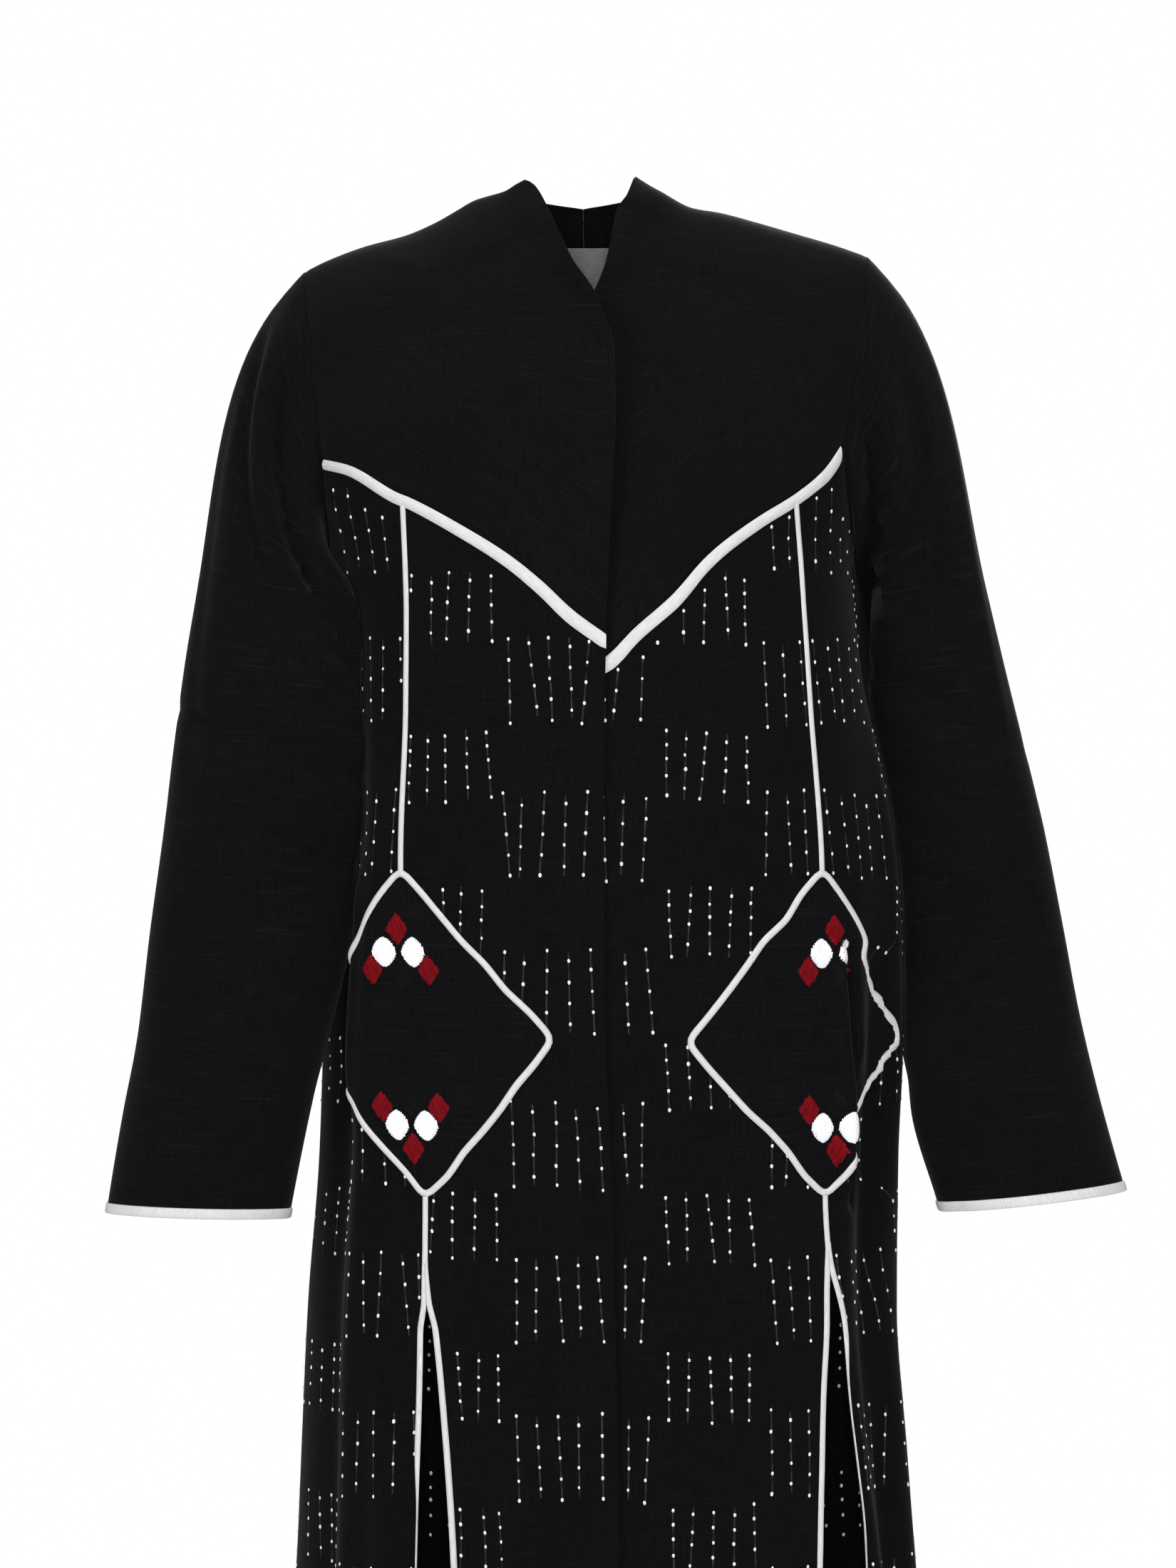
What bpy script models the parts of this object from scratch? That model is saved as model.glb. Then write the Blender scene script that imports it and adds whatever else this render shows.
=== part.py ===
"""Worn abaya, a hollow open robe: plain yokes and sleeves, dotted panels, bound seams and two diamond pockets.

Lengths in the tables are millimetres. The wearer faces -Y, the wearer's left is +X and +Z is up. The origin is
the middle of the neck opening, level with the tops of the shoulders, where the wearer carries the garment.
Side -1 is the wearer's right, side +1 the wearer's left.
"""
import math
from collections import namedtuple

import bpy
from mathutils import Vector

MM = 0.001
WALL = 1.6
SEAM_GAP = 0.3
HEM_Z = -1344.0
SIDES = {"right": -1, "left": 1}

# Horizontal sections of the worn body: the two sides' x, and the depth before and behind the side line
Section = namedtuple("Section", "z right left front back")
BODY = (
    Section(-150, -192, 196, 114, 103),
    Section(-200, -184, 190, 118, 105),
    Section(-232, -171, 181, 120, 104),
    Section(-300, -160, 186, 121, 99),
    Section(-390, -156, 198, 117, 97),
    Section(-480, -162, 207, 114, 102),
    Section(-560, -166, 208, 114, 109),
    Section(-640, -169, 205, 116, 114),
    Section(-740, -176, 204, 119, 118),
    Section(-830, -179, 210, 123, 122),
    Section(-905, -181, 215, 127, 126),
    Section(-1100, -194, 229, 138, 136),
    Section(-1344, -208, 244, 150, 148),
)
SQUARENESS = 2.3
SIDE_TURN = 90.0
UNDERARM_Z = {-1: -232.0, 1: -226.0}
BACK_SEAM_Z = -186.0
BACK_ARM_TURN = 116.0
LEVEL_Z = -345.0

# Front edges from the collar's peak to the hem, the right front's lap edge and the left front's hidden edge
Edge = namedtuple("Edge", "z x")
FRONT_EDGE = {
    -1: (Edge(16.5, -39.1), Edge(10.4, -32.3), Edge(-3.8, -24.6), Edge(-26.9, -14.1), Edge(-41.7, -7.0),
         Edge(-63.5, 7.6), Edge(-77, 12.3), Edge(-95.3, 19.3), Edge(-113.4, 20.7), Edge(-143.7, 21.1),
         Edge(-201.6, 18.7), Edge(-301, 15.0), Edge(-394, 13.6), Edge(-528, 14.1), Edge(-644, 18.7),
         Edge(-775, 22.0), Edge(-899, 24.3), Edge(-1100, 28.0), Edge(-1344, 32.0)),
    1: (Edge(18.6, 35.3), Edge(3.1, 29.5), Edge(-4.7, 23.7), Edge(-16.4, 20.9), Edge(-30.3, 18.5),
        Edge(-45.7, 14.7), Edge(-61.9, 8.1), Edge(-85, -3.0), Edge(-120, -12.0), Edge(-180, -17.0),
        Edge(-300, -20.0), Edge(-644, -18.0), Edge(-1344, -12.0)),
}
LAP_STEP = 3.2
LAP_FADE = 48.0
LAP_TOP_Z = -18.0
LAP_RISE = 34.0

# The yoke seam, from the front edge to the armhole
YOKE_SEAM = {
    -1: (Edge(-290.8, 15.2), Edge(-275.4, -5.9), Edge(-255.8, -26.9), Edge(-238.9, -47.9), Edge(-221.9, -74.6),
         Edge(-200.2, -114.2), Edge(-197.3, -121.3), Edge(-177.9, -154.5), Edge(-172.8, -173.1)),
    1: (Edge(-322.0, -20.0), Edge(-305.6, 14.5), Edge(-287.0, 33.6), Edge(-265.1, 58.3), Edge(-241.2, 79.3),
        Edge(-229.5, 92.4), Edge(-213.2, 115.0), Edge(-197.1, 140.3), Edge(-181.8, 158.3), Edge(-159.4, 174.0)),
}

# Collar top and shoulder seam, from the collar's peak past the side of the neck to the shoulder point
Ridge = namedtuple("Ridge", "x y z")
SHOULDER = {
    -1: (Ridge(-39.1, -25, 16.5), Ridge(-46, -9, 14.5), Ridge(-52.3, 4, 11.8), Ridge(-72.6, 9, 6.1),
         Ridge(-85.6, 9, -1.3), Ridge(-100, 9, -9.5), Ridge(-118.8, 9, -17.7), Ridge(-148, 9, -25.8),
         Ridge(-174, 8, -35.9), Ridge(-187.6, 8, -42.7)),
    1: (Ridge(35.3, -25, 18.6), Ridge(42, -9, 16), Ridge(49.9, 4, 12.8), Ridge(74, 9, 0.6),
        Ridge(92.3, 9, -2.6), Ridge(114.5, 9, -8.5), Ridge(142.4, 9, -16.7), Ridge(169.8, 8, -24.9),
        Ridge(191.4, 8, -32.4)),
}
COLLAR_BACK_Y = 70.0
COLLAR_BACK_Z = 6.1
FRONT_ROUND = 1.8
SHOULDER_ROUND = 2.1
CENTRE_BACK_ROUND = 1.2
NECK_SHARE = 0.36

# Princess seams: from the slit's top down, the side panel's edge and the centre panel's edge part
SeamRow = namedtuple("SeamRow", "z side_x centre_x")
PRINCESS = {
    -1: (SeamRow(-200, -118.5, -118.5), SeamRow(-276, -116, -116), SeamRow(-341, -116.1, -116.1),
         SeamRow(-448, -119, -119), SeamRow(-560, -111, -111), SeamRow(-657, -103.4, -103.4),
         SeamRow(-700, -103.6, -103.6), SeamRow(-744, -105.0, -98.6), SeamRow(-785, -105.6, -94.4),
         SeamRow(-863, -108.0, -88.5), SeamRow(-905, -109.0, -86.4), SeamRow(-1100, -113, -80),
         SeamRow(-1344, -118, -74)),
    1: (SeamRow(-197, 139.8, 139.8), SeamRow(-245, 143.6, 143.6), SeamRow(-338, 149.8, 149.8),
        SeamRow(-448, 157.5, 157.5), SeamRow(-560, 159, 159), SeamRow(-657, 159.1, 159.1),
        SeamRow(-700, 161.2, 161.2), SeamRow(-744, 169.5, 161.5), SeamRow(-789, 174.6, 159.8),
        SeamRow(-832, 180.0, 158.8), SeamRow(-881, 184.5, 157.6), SeamRow(-1100, 191, 154),
        SeamRow(-1344, 198, 152)),
}
SLIT_TOP_Z = -700.0

# Folds of the worn cloth: a line down the body by turn, how far it stands out or dips, and its half width
Fold = namedtuple("Fold", "top_z top_turn low_z low_turn height half_width")
FOLDS = (
    Fold(-250, -58, -1344, -56, 7, 8), Fold(-400, -74, -1344, -70, -8, 8), Fold(-380, -96, -1344, -92, 10, 10),
    Fold(-690, -47, -1344, -41, 6, 4), Fold(-640, -6, -1344, -7, -5, 5.5), Fold(-420, -10, -620, -10, -2.5, 4),
    Fold(-640, -22, -1344, -23, -5, 5), Fold(-760, -14, -1344, -15, 5, 4),
    Fold(-500, 3, -1344, 4, -4, 4), Fold(-560, 13, -1344, 15, -5, 5), Fold(-760, 23, -1344, 26, 5, 5),
    Fold(-470, 56, -700, 54, 4, 6), Fold(-450, 66, -800, 64, -7, 6), Fold(-300, 82, -1344, 80, 8, 8),
    Fold(-680, 60, -1344, 60, 5, 4), Fold(-720, 71, -1344, 71, -7, 4.5),
    Fold(-520, 104, -1344, 106, -8, 7), Fold(-420, 122, -1344, 124, 8, 9), Fold(-560, 142, -1344, 143, -8, 8),
    Fold(-480, 160, -1344, 161, 7, 9), Fold(-600, 178, -1344, 178, -7, 8), Fold(-500, 197, -1344, 196, 7, 9),
    Fold(-560, 216, -1344, 215, -8, 8), Fold(-420, 236, -1344, 234, 8, 9), Fold(-520, 253, -1344, 251, -7, 7),
)
FOLD_FADE = 130.0
HEM_SWELL = 1.7

# Sleeve rings: the outer and inner points seen from the front, the ring's middle y and its depth
Ring = namedtuple("Ring", "outer_x outer_z inner_x inner_z middle_y depth")
SLEEVE = {
    -1: (Ring(-257.5, -258, -140, -270, -34, 108), Ring(-266, -312, -132, -324, -40, 106),
         Ring(-273, -365, -133, -374, -40, 103), Ring(-280, -422, -142, -431, -38, 99),
         Ring(-289, -488, -156, -493, -38, 95), Ring(-297, -556, -172, -563, -40, 90),
         Ring(-306, -604, -182, -608, -42, 87), Ring(-317.6, -666, -195.3, -669.5, -44, 83)),
    1: (Ring(271.5, -258, 184, -264, -4, 112), Ring(284, -312, 190, -320, -8, 112),
        Ring(296, -362, 199, -371, -12, 108), Ring(308.5, -415, 206, -425, -16, 104),
        Ring(321, -480, 214, -490, -20, 99), Ring(332, -540, 216, -553, -24, 95),
        Ring(344, -592, 219, -604, -28, 91), Ring(360.1, -652.5, 235, -666.5, -32, 86)),
}
SLEEVE_CLEARANCE = 5.0
CUFF_BAND = 6.8
CUFF_STAND = 0.5

# Folds of the sleeves, by the turn round the sleeve and the row down it
SleeveFold = namedtuple("SleeveFold", "top_row top_turn low_row low_turn height half_width")
SLEEVE_FOLDS = {
    -1: (SleeveFold(0.5, 62, 6.5, 128, -7, 13), SleeveFold(2, 30, 8, 118, -4, 12),
         SleeveFold(1.5, 45, 7, 108, 5, 12), SleeveFold(8.5, 40, 9.5, 140, -4, 26),
         SleeveFold(11, 130, 12.5, 70, -3, 26), SleeveFold(9, 215, 10, 300, -4, 28),
         SleeveFold(1, 290, 7, 235, -6, 14), SleeveFold(12, 240, 13.5, 300, -3, 26)),
    1: (SleeveFold(0.5, 70, 6.5, 118, 6, 12), SleeveFold(1, 92, 6.5, 140, -7, 13),
        SleeveFold(7.5, 120, 9, 50, -4, 24), SleeveFold(11, 60, 12, 130, 3, 24),
        SleeveFold(1, 288, 7, 235, -6, 14), SleeveFold(9, 215, 10, 300, -4, 28)),
}
CAP_ROWS = 6
RING_ROWS = 11

# Pockets lie over the princess seams
POCKET_TOP_Z = -447.0
POCKET_LOW_Z = -657.0
PocketHalf = namedtuple("PocketHalf", "centre_width side_width corner_z")
POCKET = {-1: PocketHalf(92, 88, -555), 1: PocketHalf(92, 86, -557)}
POCKET_TIP = 3.0
POCKET_MARGIN = 24.0
POCKET_LIFT = 0.4
POCKET_WALL = 1.4
PIPING_GAP = 0.5
PIPING_LIFT = 0.4
PIPING_THICK = 1.6

BINDING_WIDTH = 10.4
PIPING_WIDTH = 4.6
TRIM_LIFT = 0.4
TRIM_THICK = 1.6
LABEL_WIDTH = 34.0
LABEL_TOP_Z = -20.0
LABEL_DROP = 32.0
LABEL_THICK = 1.0
LABEL_GAP = 1.1

YOKE_ROWS = 9
YOKE_COLUMNS = 9
FAN_ROWS = 4
LEVEL_ROWS = 22
CENTRE_COLUMNS = 10
SIDE_COLUMNS = 8
ARM_COLUMNS = 5
BACK_COLUMNS = 15


def mix(a, b, share):
    return a + (b - a) * share


def smooth(share):
    share = min(1.0, max(0.0, share))
    return share * share * (3 - 2 * share)


def read(rows, key, field, value):
    """Value of one column of a table at a key between its rows, on a curve without overshoot."""
    keys = [getattr(row, key) for row in rows]
    data = [getattr(row, field) for row in rows]
    if keys[0] > keys[-1]:
        keys, data = keys[::-1], data[::-1]
    if value <= keys[0]:
        return data[0]
    if value >= keys[-1]:
        return data[-1]
    last = len(keys) - 1
    i = max(k for k in range(last) if keys[k] <= value)
    slopes = [(data[k + 1] - data[k]) / (keys[k + 1] - keys[k]) for k in range(last)]

    def tangent(k):
        if k in (0, last) or slopes[k - 1] * slopes[k] <= 0:
            return slopes[min(k, last - 1)] if k in (0, last) else 0.0
        return 2 * slopes[k - 1] * slopes[k] / (slopes[k - 1] + slopes[k])

    step = keys[i + 1] - keys[i]
    t = (value - keys[i]) / step
    return (data[i] * (1 + 2 * t) * (1 - t) ** 2 + step * tangent(i) * t * (1 - t) ** 2
            + data[i + 1] * t * t * (3 - 2 * t) + step * tangent(i + 1) * t * t * (t - 1))


def power(value, exponent):
    return math.copysign(abs(value) ** exponent, value)


def base_point(turn, z):
    """Point of the body's section at a turn from centre front, in degrees, without folds."""
    right = read(BODY, "z", "right", z)
    left = read(BODY, "z", "left", z)
    depth = read(BODY, "z", "front" if math.cos(math.radians(turn)) > 0 else "back", z)
    bend = 2 / SQUARENESS
    x = (right + left) / 2 + (left - right) / 2 * power(math.sin(math.radians(turn)), bend)
    return Vector((x, -depth * power(math.cos(math.radians(turn)), bend), z))


def turn_at(x, z):
    """Turn of the front point with this x."""
    right = read(BODY, "z", "right", z)
    left = read(BODY, "z", "left", z)
    share = (x - (right + left) / 2) / ((left - right) / 2)
    share = min(1.0, max(-1.0, share))
    return math.degrees(math.asin(power(share, SQUARENESS / 2)))


def fold_height(turn, z):
    """How far the folds move the cloth out at a place."""
    total = 0.0
    for fold in FOLDS:
        if not fold.low_z - FOLD_FADE < z < fold.top_z:
            continue
        line = mix(fold.top_turn, fold.low_turn, (fold.top_z - z) / (fold.top_z - fold.low_z))
        away = (turn - line + 180) % 360 - 180
        grow = smooth((fold.top_z - z) / FOLD_FADE)
        if fold.low_z > HEM_Z:
            grow *= smooth((z - fold.low_z + FOLD_FADE) / FOLD_FADE)
        swell = mix(1.0, HEM_SWELL, smooth((-700 - z) / 600))
        total += fold.height * swell * grow * math.exp(-(away / fold.half_width) ** 2)
    return total


def lap_drop(x, z):
    """How far the left front lies inward beneath the right front's lap."""
    lap = read(FRONT_EDGE[-1], "z", "x", z)
    return -LAP_STEP * smooth((lap + LAP_FADE - x) / (LAP_FADE - 6)) * smooth((LAP_TOP_Z - z) / LAP_RISE)


def body_point(turn, z, under=False):
    """Point of the worn cloth; under is true on the left front, which the right front laps over."""
    step = 0.5
    along = base_point(turn + step, z) - base_point(turn - step, z)
    out = Vector((along.y, -along.x, 0)).normalized()
    point = base_point(turn, z)
    drop = lap_drop(point.x, z) if under else 0.0
    return point + out * (fold_height(turn, z) + drop)


def body_normal(turn, z, under=False):
    step = 0.6
    across = body_point(turn + step, z, under) - body_point(turn - step, z, under)
    up = body_point(turn, z + 3, under) - body_point(turn, z - 3, under)
    return across.cross(up).normalized()


def shift_turn(turn, z, distance):
    """Turn of the place that lies a distance further along the cloth, level."""
    steps = max(1, math.ceil(abs(distance) / 4))
    for _ in range(steps):
        per_degree = (body_point(turn + 0.5, z) - body_point(turn - 0.5, z)).length
        turn += distance / steps / per_degree
    return turn


def princess_turn(side, z, edge):
    return turn_at(read(PRINCESS[side], "z", edge, z), z)


def front_edge_turn(side, z):
    return turn_at(read(FRONT_EDGE[side], "z", "x", z), z)


def seam_z(side, x):
    return read(YOKE_SEAM[side], "x", "z", x)


def arm_start(side):
    """Turn and height where the yoke seam meets the armhole."""
    row = YOKE_SEAM[side][-1]
    return turn_at(row.x, row.z), row.z


def arm_curve(start_z, side, share):
    """Height of the armhole's lower edge, from the yoke seam, 0, to the underarm, 1."""
    low = UNDERARM_Z[side]
    return low + (start_z - low) * (1 - math.sqrt(1 - (1 - share) ** 2))


class Panel:
    """A grid of points on the body between two edges, and the wall made on it."""

    def __init__(self, columns, top, under=False):
        self.columns = columns
        self.top = top
        self.under = under
        self.count = len(columns(LEVEL_Z))
        self.heights = [self.row_heights(i) for i in range(self.count)]
        self.turns = [[self.columns(z)[i] for z in self.heights[i]] for i in range(self.count)]

    def row_heights(self, i):
        top = self.top(i)
        fan = [mix(top, LEVEL_Z, j / FAN_ROWS) for j in range(FAN_ROWS)]
        level = [mix(LEVEL_Z, HEM_Z, j / LEVEL_ROWS) for j in range(LEVEL_ROWS + 1)]
        return fan + level

    def corner(self, i, j):
        return body_point(self.turns[i][j], self.heights[i][j], self.under)

    def normal(self, i, j):
        return body_normal(self.turns[i][j], self.heights[i][j], self.under)

    def place(self, turn, z):
        """Point of the faceted panel at a turn and height."""
        turns = self.columns(z)
        low, high = (0, -1) if turns[0] < turns[-1] else (-1, 0)
        turn = min(turns[high], max(turns[low], turn))
        i = next(k for k in range(self.count - 1)
                 if min(turns[k], turns[k + 1]) - 1e-9 <= turn <= max(turns[k], turns[k + 1]) + 1e-9)
        share = (turn - turns[i]) / (turns[i + 1] - turns[i])
        heights = [mix(self.heights[i][j], self.heights[i + 1][j], share) for j in range(len(self.heights[i]))]
        row = next((j for j in range(1, len(heights)) if heights[j] <= z), len(heights) - 1)
        down = (heights[row - 1] - z) / (heights[row - 1] - heights[row])
        above = self.corner(i, row - 1).lerp(self.corner(i + 1, row - 1), share)
        below = self.corner(i, row).lerp(self.corner(i + 1, row), share)
        return above.lerp(below, down)


def closed_wall(name, outer, inner, material, ring=False):
    """Mesh of a wall between two grids of points, row by row; ring joins each row's ends."""
    rows, columns = len(outer), len(outer[0])
    points = [p * MM for row in outer for p in row] + [p * MM for row in inner for p in row]
    half = rows * columns
    faces = []

    def at(i, j):
        return i * columns + j % columns

    for i in range(rows - 1):
        for j in range(columns if ring else columns - 1):
            quad = (at(i, j), at(i + 1, j), at(i + 1, j + 1), at(i, j + 1))
            faces.append(quad)
            faces.append(tuple(half + k for k in reversed(quad)))
    border = []
    for j in range(columns if ring else columns - 1):
        border.append((at(0, j + 1), at(0, j)))
        border.append((at(rows - 1, j), at(rows - 1, j + 1)))
    if not ring:
        for i in range(rows - 1):
            border.append((at(i, 0), at(i + 1, 0)))
            border.append((at(i + 1, columns - 1), at(i, columns - 1)))
    faces += [(b, a, half + a, half + b) for a, b in border]
    return add_object(name, points, faces, material)


def add_object(name, points, faces, material):
    mesh = bpy.data.meshes.new(name)
    mesh.from_pydata(points, [], faces)
    mesh.update()
    mesh.materials.append(material)
    mesh.shade_smooth()
    mesh.set_sharp_from_angle(angle=math.radians(50))
    item = bpy.data.objects.new(name, mesh)
    bpy.data.collections["abaya"].objects.link(item)
    if item_volume(mesh) < 0:
        mesh.flip_normals()
    return item


def item_volume(mesh):
    total = 0.0
    for face in mesh.polygons:
        corners = [mesh.vertices[k].co for k in face.vertices]
        for k in range(1, len(corners) - 1):
            total += corners[0].dot(corners[k].cross(corners[k + 1]))
    return total


def grid_wall(name, points, normals, material, thick=WALL, lift=0.0, ring=False):
    outer = [[p + n * (lift + (thick if lift else 0)) for p, n in zip(*row)] for row in zip(points, normals)]
    inner = [[p + n * (lift if lift else -thick) for p, n in zip(*row)] for row in zip(points, normals)]
    return closed_wall(name, outer, inner, material, ring)


def panel_wall(name, panel, material):
    rows = len(panel.heights[0])
    points = [[panel.corner(i, j) for i in range(panel.count)] for j in range(rows)]
    normals = [[panel.normal(i, j) for i in range(panel.count)] for j in range(rows)]
    return grid_wall(name, points, normals, material)


def centre_panel(side):
    """Centre front: from the front edge to the princess seam."""
    def columns(z):
        start = front_edge_turn(side, z)
        gap = SEAM_GAP / 2 if z > SLIT_TOP_Z else 0.0
        end = shift_turn(princess_turn(side, z, "centre_x"), z, -side * gap)
        return [mix(start, end, i / CENTRE_COLUMNS) for i in range(CENTRE_COLUMNS + 1)]

    def top(i):
        x = mix(YOKE_SEAM[side][0].x, PRINCESS[side][0].centre_x, i / CENTRE_COLUMNS)
        return seam_z(side, x) - SEAM_GAP / 2

    return Panel(columns, top, under=side > 0)


def side_panel(side):
    """Side front: from the princess seam to the armhole and the side seam."""
    arm_turn, arm_z = arm_start(side)

    def columns(z):
        gap = SEAM_GAP / 2 if z > SLIT_TOP_Z else 0.0
        start = shift_turn(princess_turn(side, z, "side_x"), z, side * gap)
        end = side * SIDE_TURN - side * 0.06
        fan = smooth((UNDERARM_Z[side] - z) / (UNDERARM_Z[side] - LEVEL_Z))
        middle = mix(arm_turn, mix(start, end, SIDE_COLUMNS / (SIDE_COLUMNS + ARM_COLUMNS)), fan)
        first = [mix(start, middle, i / SIDE_COLUMNS) for i in range(SIDE_COLUMNS)]
        return first + [mix(middle, end, i / ARM_COLUMNS) for i in range(ARM_COLUMNS + 1)]

    def top(i):
        if i <= SIDE_COLUMNS:
            x = mix(PRINCESS[side][0].side_x, YOKE_SEAM[side][-1].x, i / SIDE_COLUMNS)
            return seam_z(side, x) - SEAM_GAP / 2
        return arm_curve(arm_z, side, (i - SIDE_COLUMNS) / ARM_COLUMNS) - SEAM_GAP / 2

    return Panel(columns, top)


def back_panel():
    """Back: from the left side seam round to the right one."""
    arm = {1: BACK_ARM_TURN, -1: 360 - BACK_ARM_TURN}

    def columns(z):
        ends = (SIDE_TURN + 0.06, 360 - SIDE_TURN - 0.06)
        fan = smooth((UNDERARM_Z[-1] - z) / (UNDERARM_Z[-1] - LEVEL_Z))
        share = ARM_COLUMNS / (BACK_COLUMNS + 2 * ARM_COLUMNS)
        first = mix(arm[1], mix(*ends, share), fan)
        second = mix(arm[-1], mix(*ends, 1 - share), fan)
        turns = [mix(ends[0], first, i / ARM_COLUMNS) for i in range(ARM_COLUMNS)]
        turns += [mix(first, second, i / BACK_COLUMNS) for i in range(BACK_COLUMNS)]
        return turns + [mix(second, ends[1], i / ARM_COLUMNS) for i in range(ARM_COLUMNS + 1)]

    def top(i):
        last = BACK_COLUMNS + 2 * ARM_COLUMNS
        if i < ARM_COLUMNS:
            return arm_curve(BACK_SEAM_Z, 1, 1 - i / ARM_COLUMNS) - SEAM_GAP / 2
        if i > last - ARM_COLUMNS:
            return arm_curve(BACK_SEAM_Z, -1, 1 - (last - i) / ARM_COLUMNS) - SEAM_GAP / 2
        return BACK_SEAM_Z - SEAM_GAP / 2

    return Panel(columns, top)


def arch(low, high, roundness, share):
    """Height and depth on a rounded arch from an upright start to the ridge."""
    angle = math.radians(90 * share)
    rise = math.sin(angle) ** (2 / roundness)
    fall = math.cos(angle) ** (2 / roundness) if share < 1 else 0.0
    return mix(low.z, high.z, rise), high.y + (low.y - high.y) * fall, rise


def front_yoke_point(side, u, v):
    """Point of a front yoke: u from the front edge to the armhole, v from its seam to the shoulder."""
    def column(share):
        low_x = mix(YOKE_SEAM[side][0].x, YOKE_SEAM[side][-1].x, share)
        low_z = seam_z(side, low_x)
        low = body_point(turn_at(low_x, low_z), low_z, side > 0)
        high_x = mix(SHOULDER[side][0].x, SHOULDER[side][-1].x, share)
        high = Vector((high_x, read(SHOULDER[side], "x", "y", high_x), read(SHOULDER[side], "x", "z", high_x)))
        return low, high, mix(FRONT_ROUND, SHOULDER_ROUND, smooth(share))

    low, high, roundness = column(u)
    z, y, rise = arch(low, high, roundness, v)
    edge_low, edge_high, edge_round = column(0.0)
    edge_z, _, _ = arch(edge_low, edge_high, edge_round, v)
    arm_low, arm_high, arm_round = column(1.0)
    _, _, arm_rise = arch(arm_low, arm_high, arm_round, v)
    edge_x = read(FRONT_EDGE[side], "z", "x", edge_z)
    arm_x = mix(YOKE_SEAM[side][-1].x, SHOULDER[side][-1].x, arm_rise)
    x = mix(edge_x, arm_x, u)
    if side > 0:
        y -= lap_drop(x, z) * smooth(v * YOKE_ROWS / 2)
    return Vector((x, y + yoke_fold(side, x, z), z))


YokeFold = namedtuple("YokeFold", "x z reach_x reach_z height")
YOKE_FOLDS = {
    -1: (YokeFold(-150, -70, 60, 14, 3.0), YokeFold(-140, -108, 70, 16, -3.0), YokeFold(-60, -40, 60, 12, -2.5),
         YokeFold(-110, -150, 80, 20, 2.5)),
    1: (YokeFold(85, -60, 50, 14, -2.5), YokeFold(60, -95, 50, 16, 2.5), YokeFold(62, -245, 40, 12, -3.0),
        YokeFold(150, -120, 50, 22, -2.5)),
}


def yoke_fold(side, x, z):
    """Soft slanted folds of the yoke, as a depth."""
    total = 0.0
    for fold in YOKE_FOLDS[side]:
        across = (x - fold.x) / fold.reach_x
        along = (z - fold.z - 0.35 * side * (x - fold.x) * -1) / fold.reach_z
        total -= fold.height * math.exp(-across * across - along * along)
    return total


def neck_arc(side, share):
    """Point of the back collar's top edge, from centre back, 0, to the side of the neck, 1."""
    neck = SHOULDER[side][2]
    angle = math.radians(90 * share)
    return Vector((neck.x * math.sin(angle), mix(neck.y, COLLAR_BACK_Y, math.cos(angle)),
                   mix(COLLAR_BACK_Z, neck.z, math.sin(angle))))


def back_yoke_point(side, u, v):
    """Point of a back yoke: u from centre back to the armhole, v from its seam to the collar and shoulder."""
    arm_turn = BACK_ARM_TURN if side > 0 else 360 - BACK_ARM_TURN
    turn = mix(180.0, arm_turn, u)
    low = body_point(turn, BACK_SEAM_Z)
    if u <= NECK_SHARE:
        high = neck_arc(side, u / NECK_SHARE)
    else:
        x = mix(SHOULDER[side][2].x, SHOULDER[side][-1].x, (u - NECK_SHARE) / (1 - NECK_SHARE))
        high = Vector((x, read(SHOULDER[side], "x", "y", x), read(SHOULDER[side], "x", "z", x)))
    roundness = mix(CENTRE_BACK_ROUND, SHOULDER_ROUND, smooth(u / (NECK_SHARE + 0.2)))
    z, y, rise = arch(low, high, roundness, v)
    return Vector((mix(low.x, high.x, rise), y, z))


def yoke_grid(point, side, facing, u_shift=(0.0, 0.0), rows=YOKE_ROWS, columns=YOKE_COLUMNS):
    """Points and outward normals of a yoke, with its edges drawn in by the shifts."""
    points, normals = [], []
    for j in range(rows + 1):
        v = mix(0.0, 1.0, j / rows)
        v = min(0.9985, max(0.0012, v))
        row, outs = [], []
        for i in range(columns + 1):
            u = min(1 - u_shift[1], max(u_shift[0], i / columns))
            step_u, step_v = 0.01, 0.01
            across = point(side, min(1, u + step_u), v) - point(side, max(0, u - step_u), v)
            up = point(side, u, min(1, v + step_v)) - point(side, u, max(0, v - step_v))
            row.append(point(side, u, v))
            outs.append(across.cross(up).normalized() * facing)
        points.append(row)
        normals.append(outs)
    return points, normals


def armhole(side):
    """Loop of armhole points with the cloth's outward normals: shoulder, front, underarm, back."""
    front_points, front_normals = yoke_grid(front_yoke_point, side, side)
    back_points, back_normals = yoke_grid(back_yoke_point, side, -side)
    arm_turn, arm_z = arm_start(side)
    back_turn = side * BACK_ARM_TURN
    loop = [(front_points[j][-1], front_normals[j][-1]) for j in range(YOKE_ROWS, 0, -1)]
    for i in range(ARM_COLUMNS):
        share = i / ARM_COLUMNS
        turn, z = mix(arm_turn, side * SIDE_TURN, share), arm_curve(arm_z, side, share)
        loop.append((body_point(turn, z), body_normal(turn, z)))
    half = len(loop)
    for i in range(ARM_COLUMNS):
        share = i / ARM_COLUMNS
        turn, z = mix(side * SIDE_TURN, back_turn, share), arm_curve(BACK_SEAM_Z, side, 1 - share)
        loop.append((body_point(turn, z), body_normal(turn, z)))
    loop += [(back_points[j][-1], back_normals[j][-1]) for j in range(YOKE_ROWS)]
    return loop, half


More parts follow.
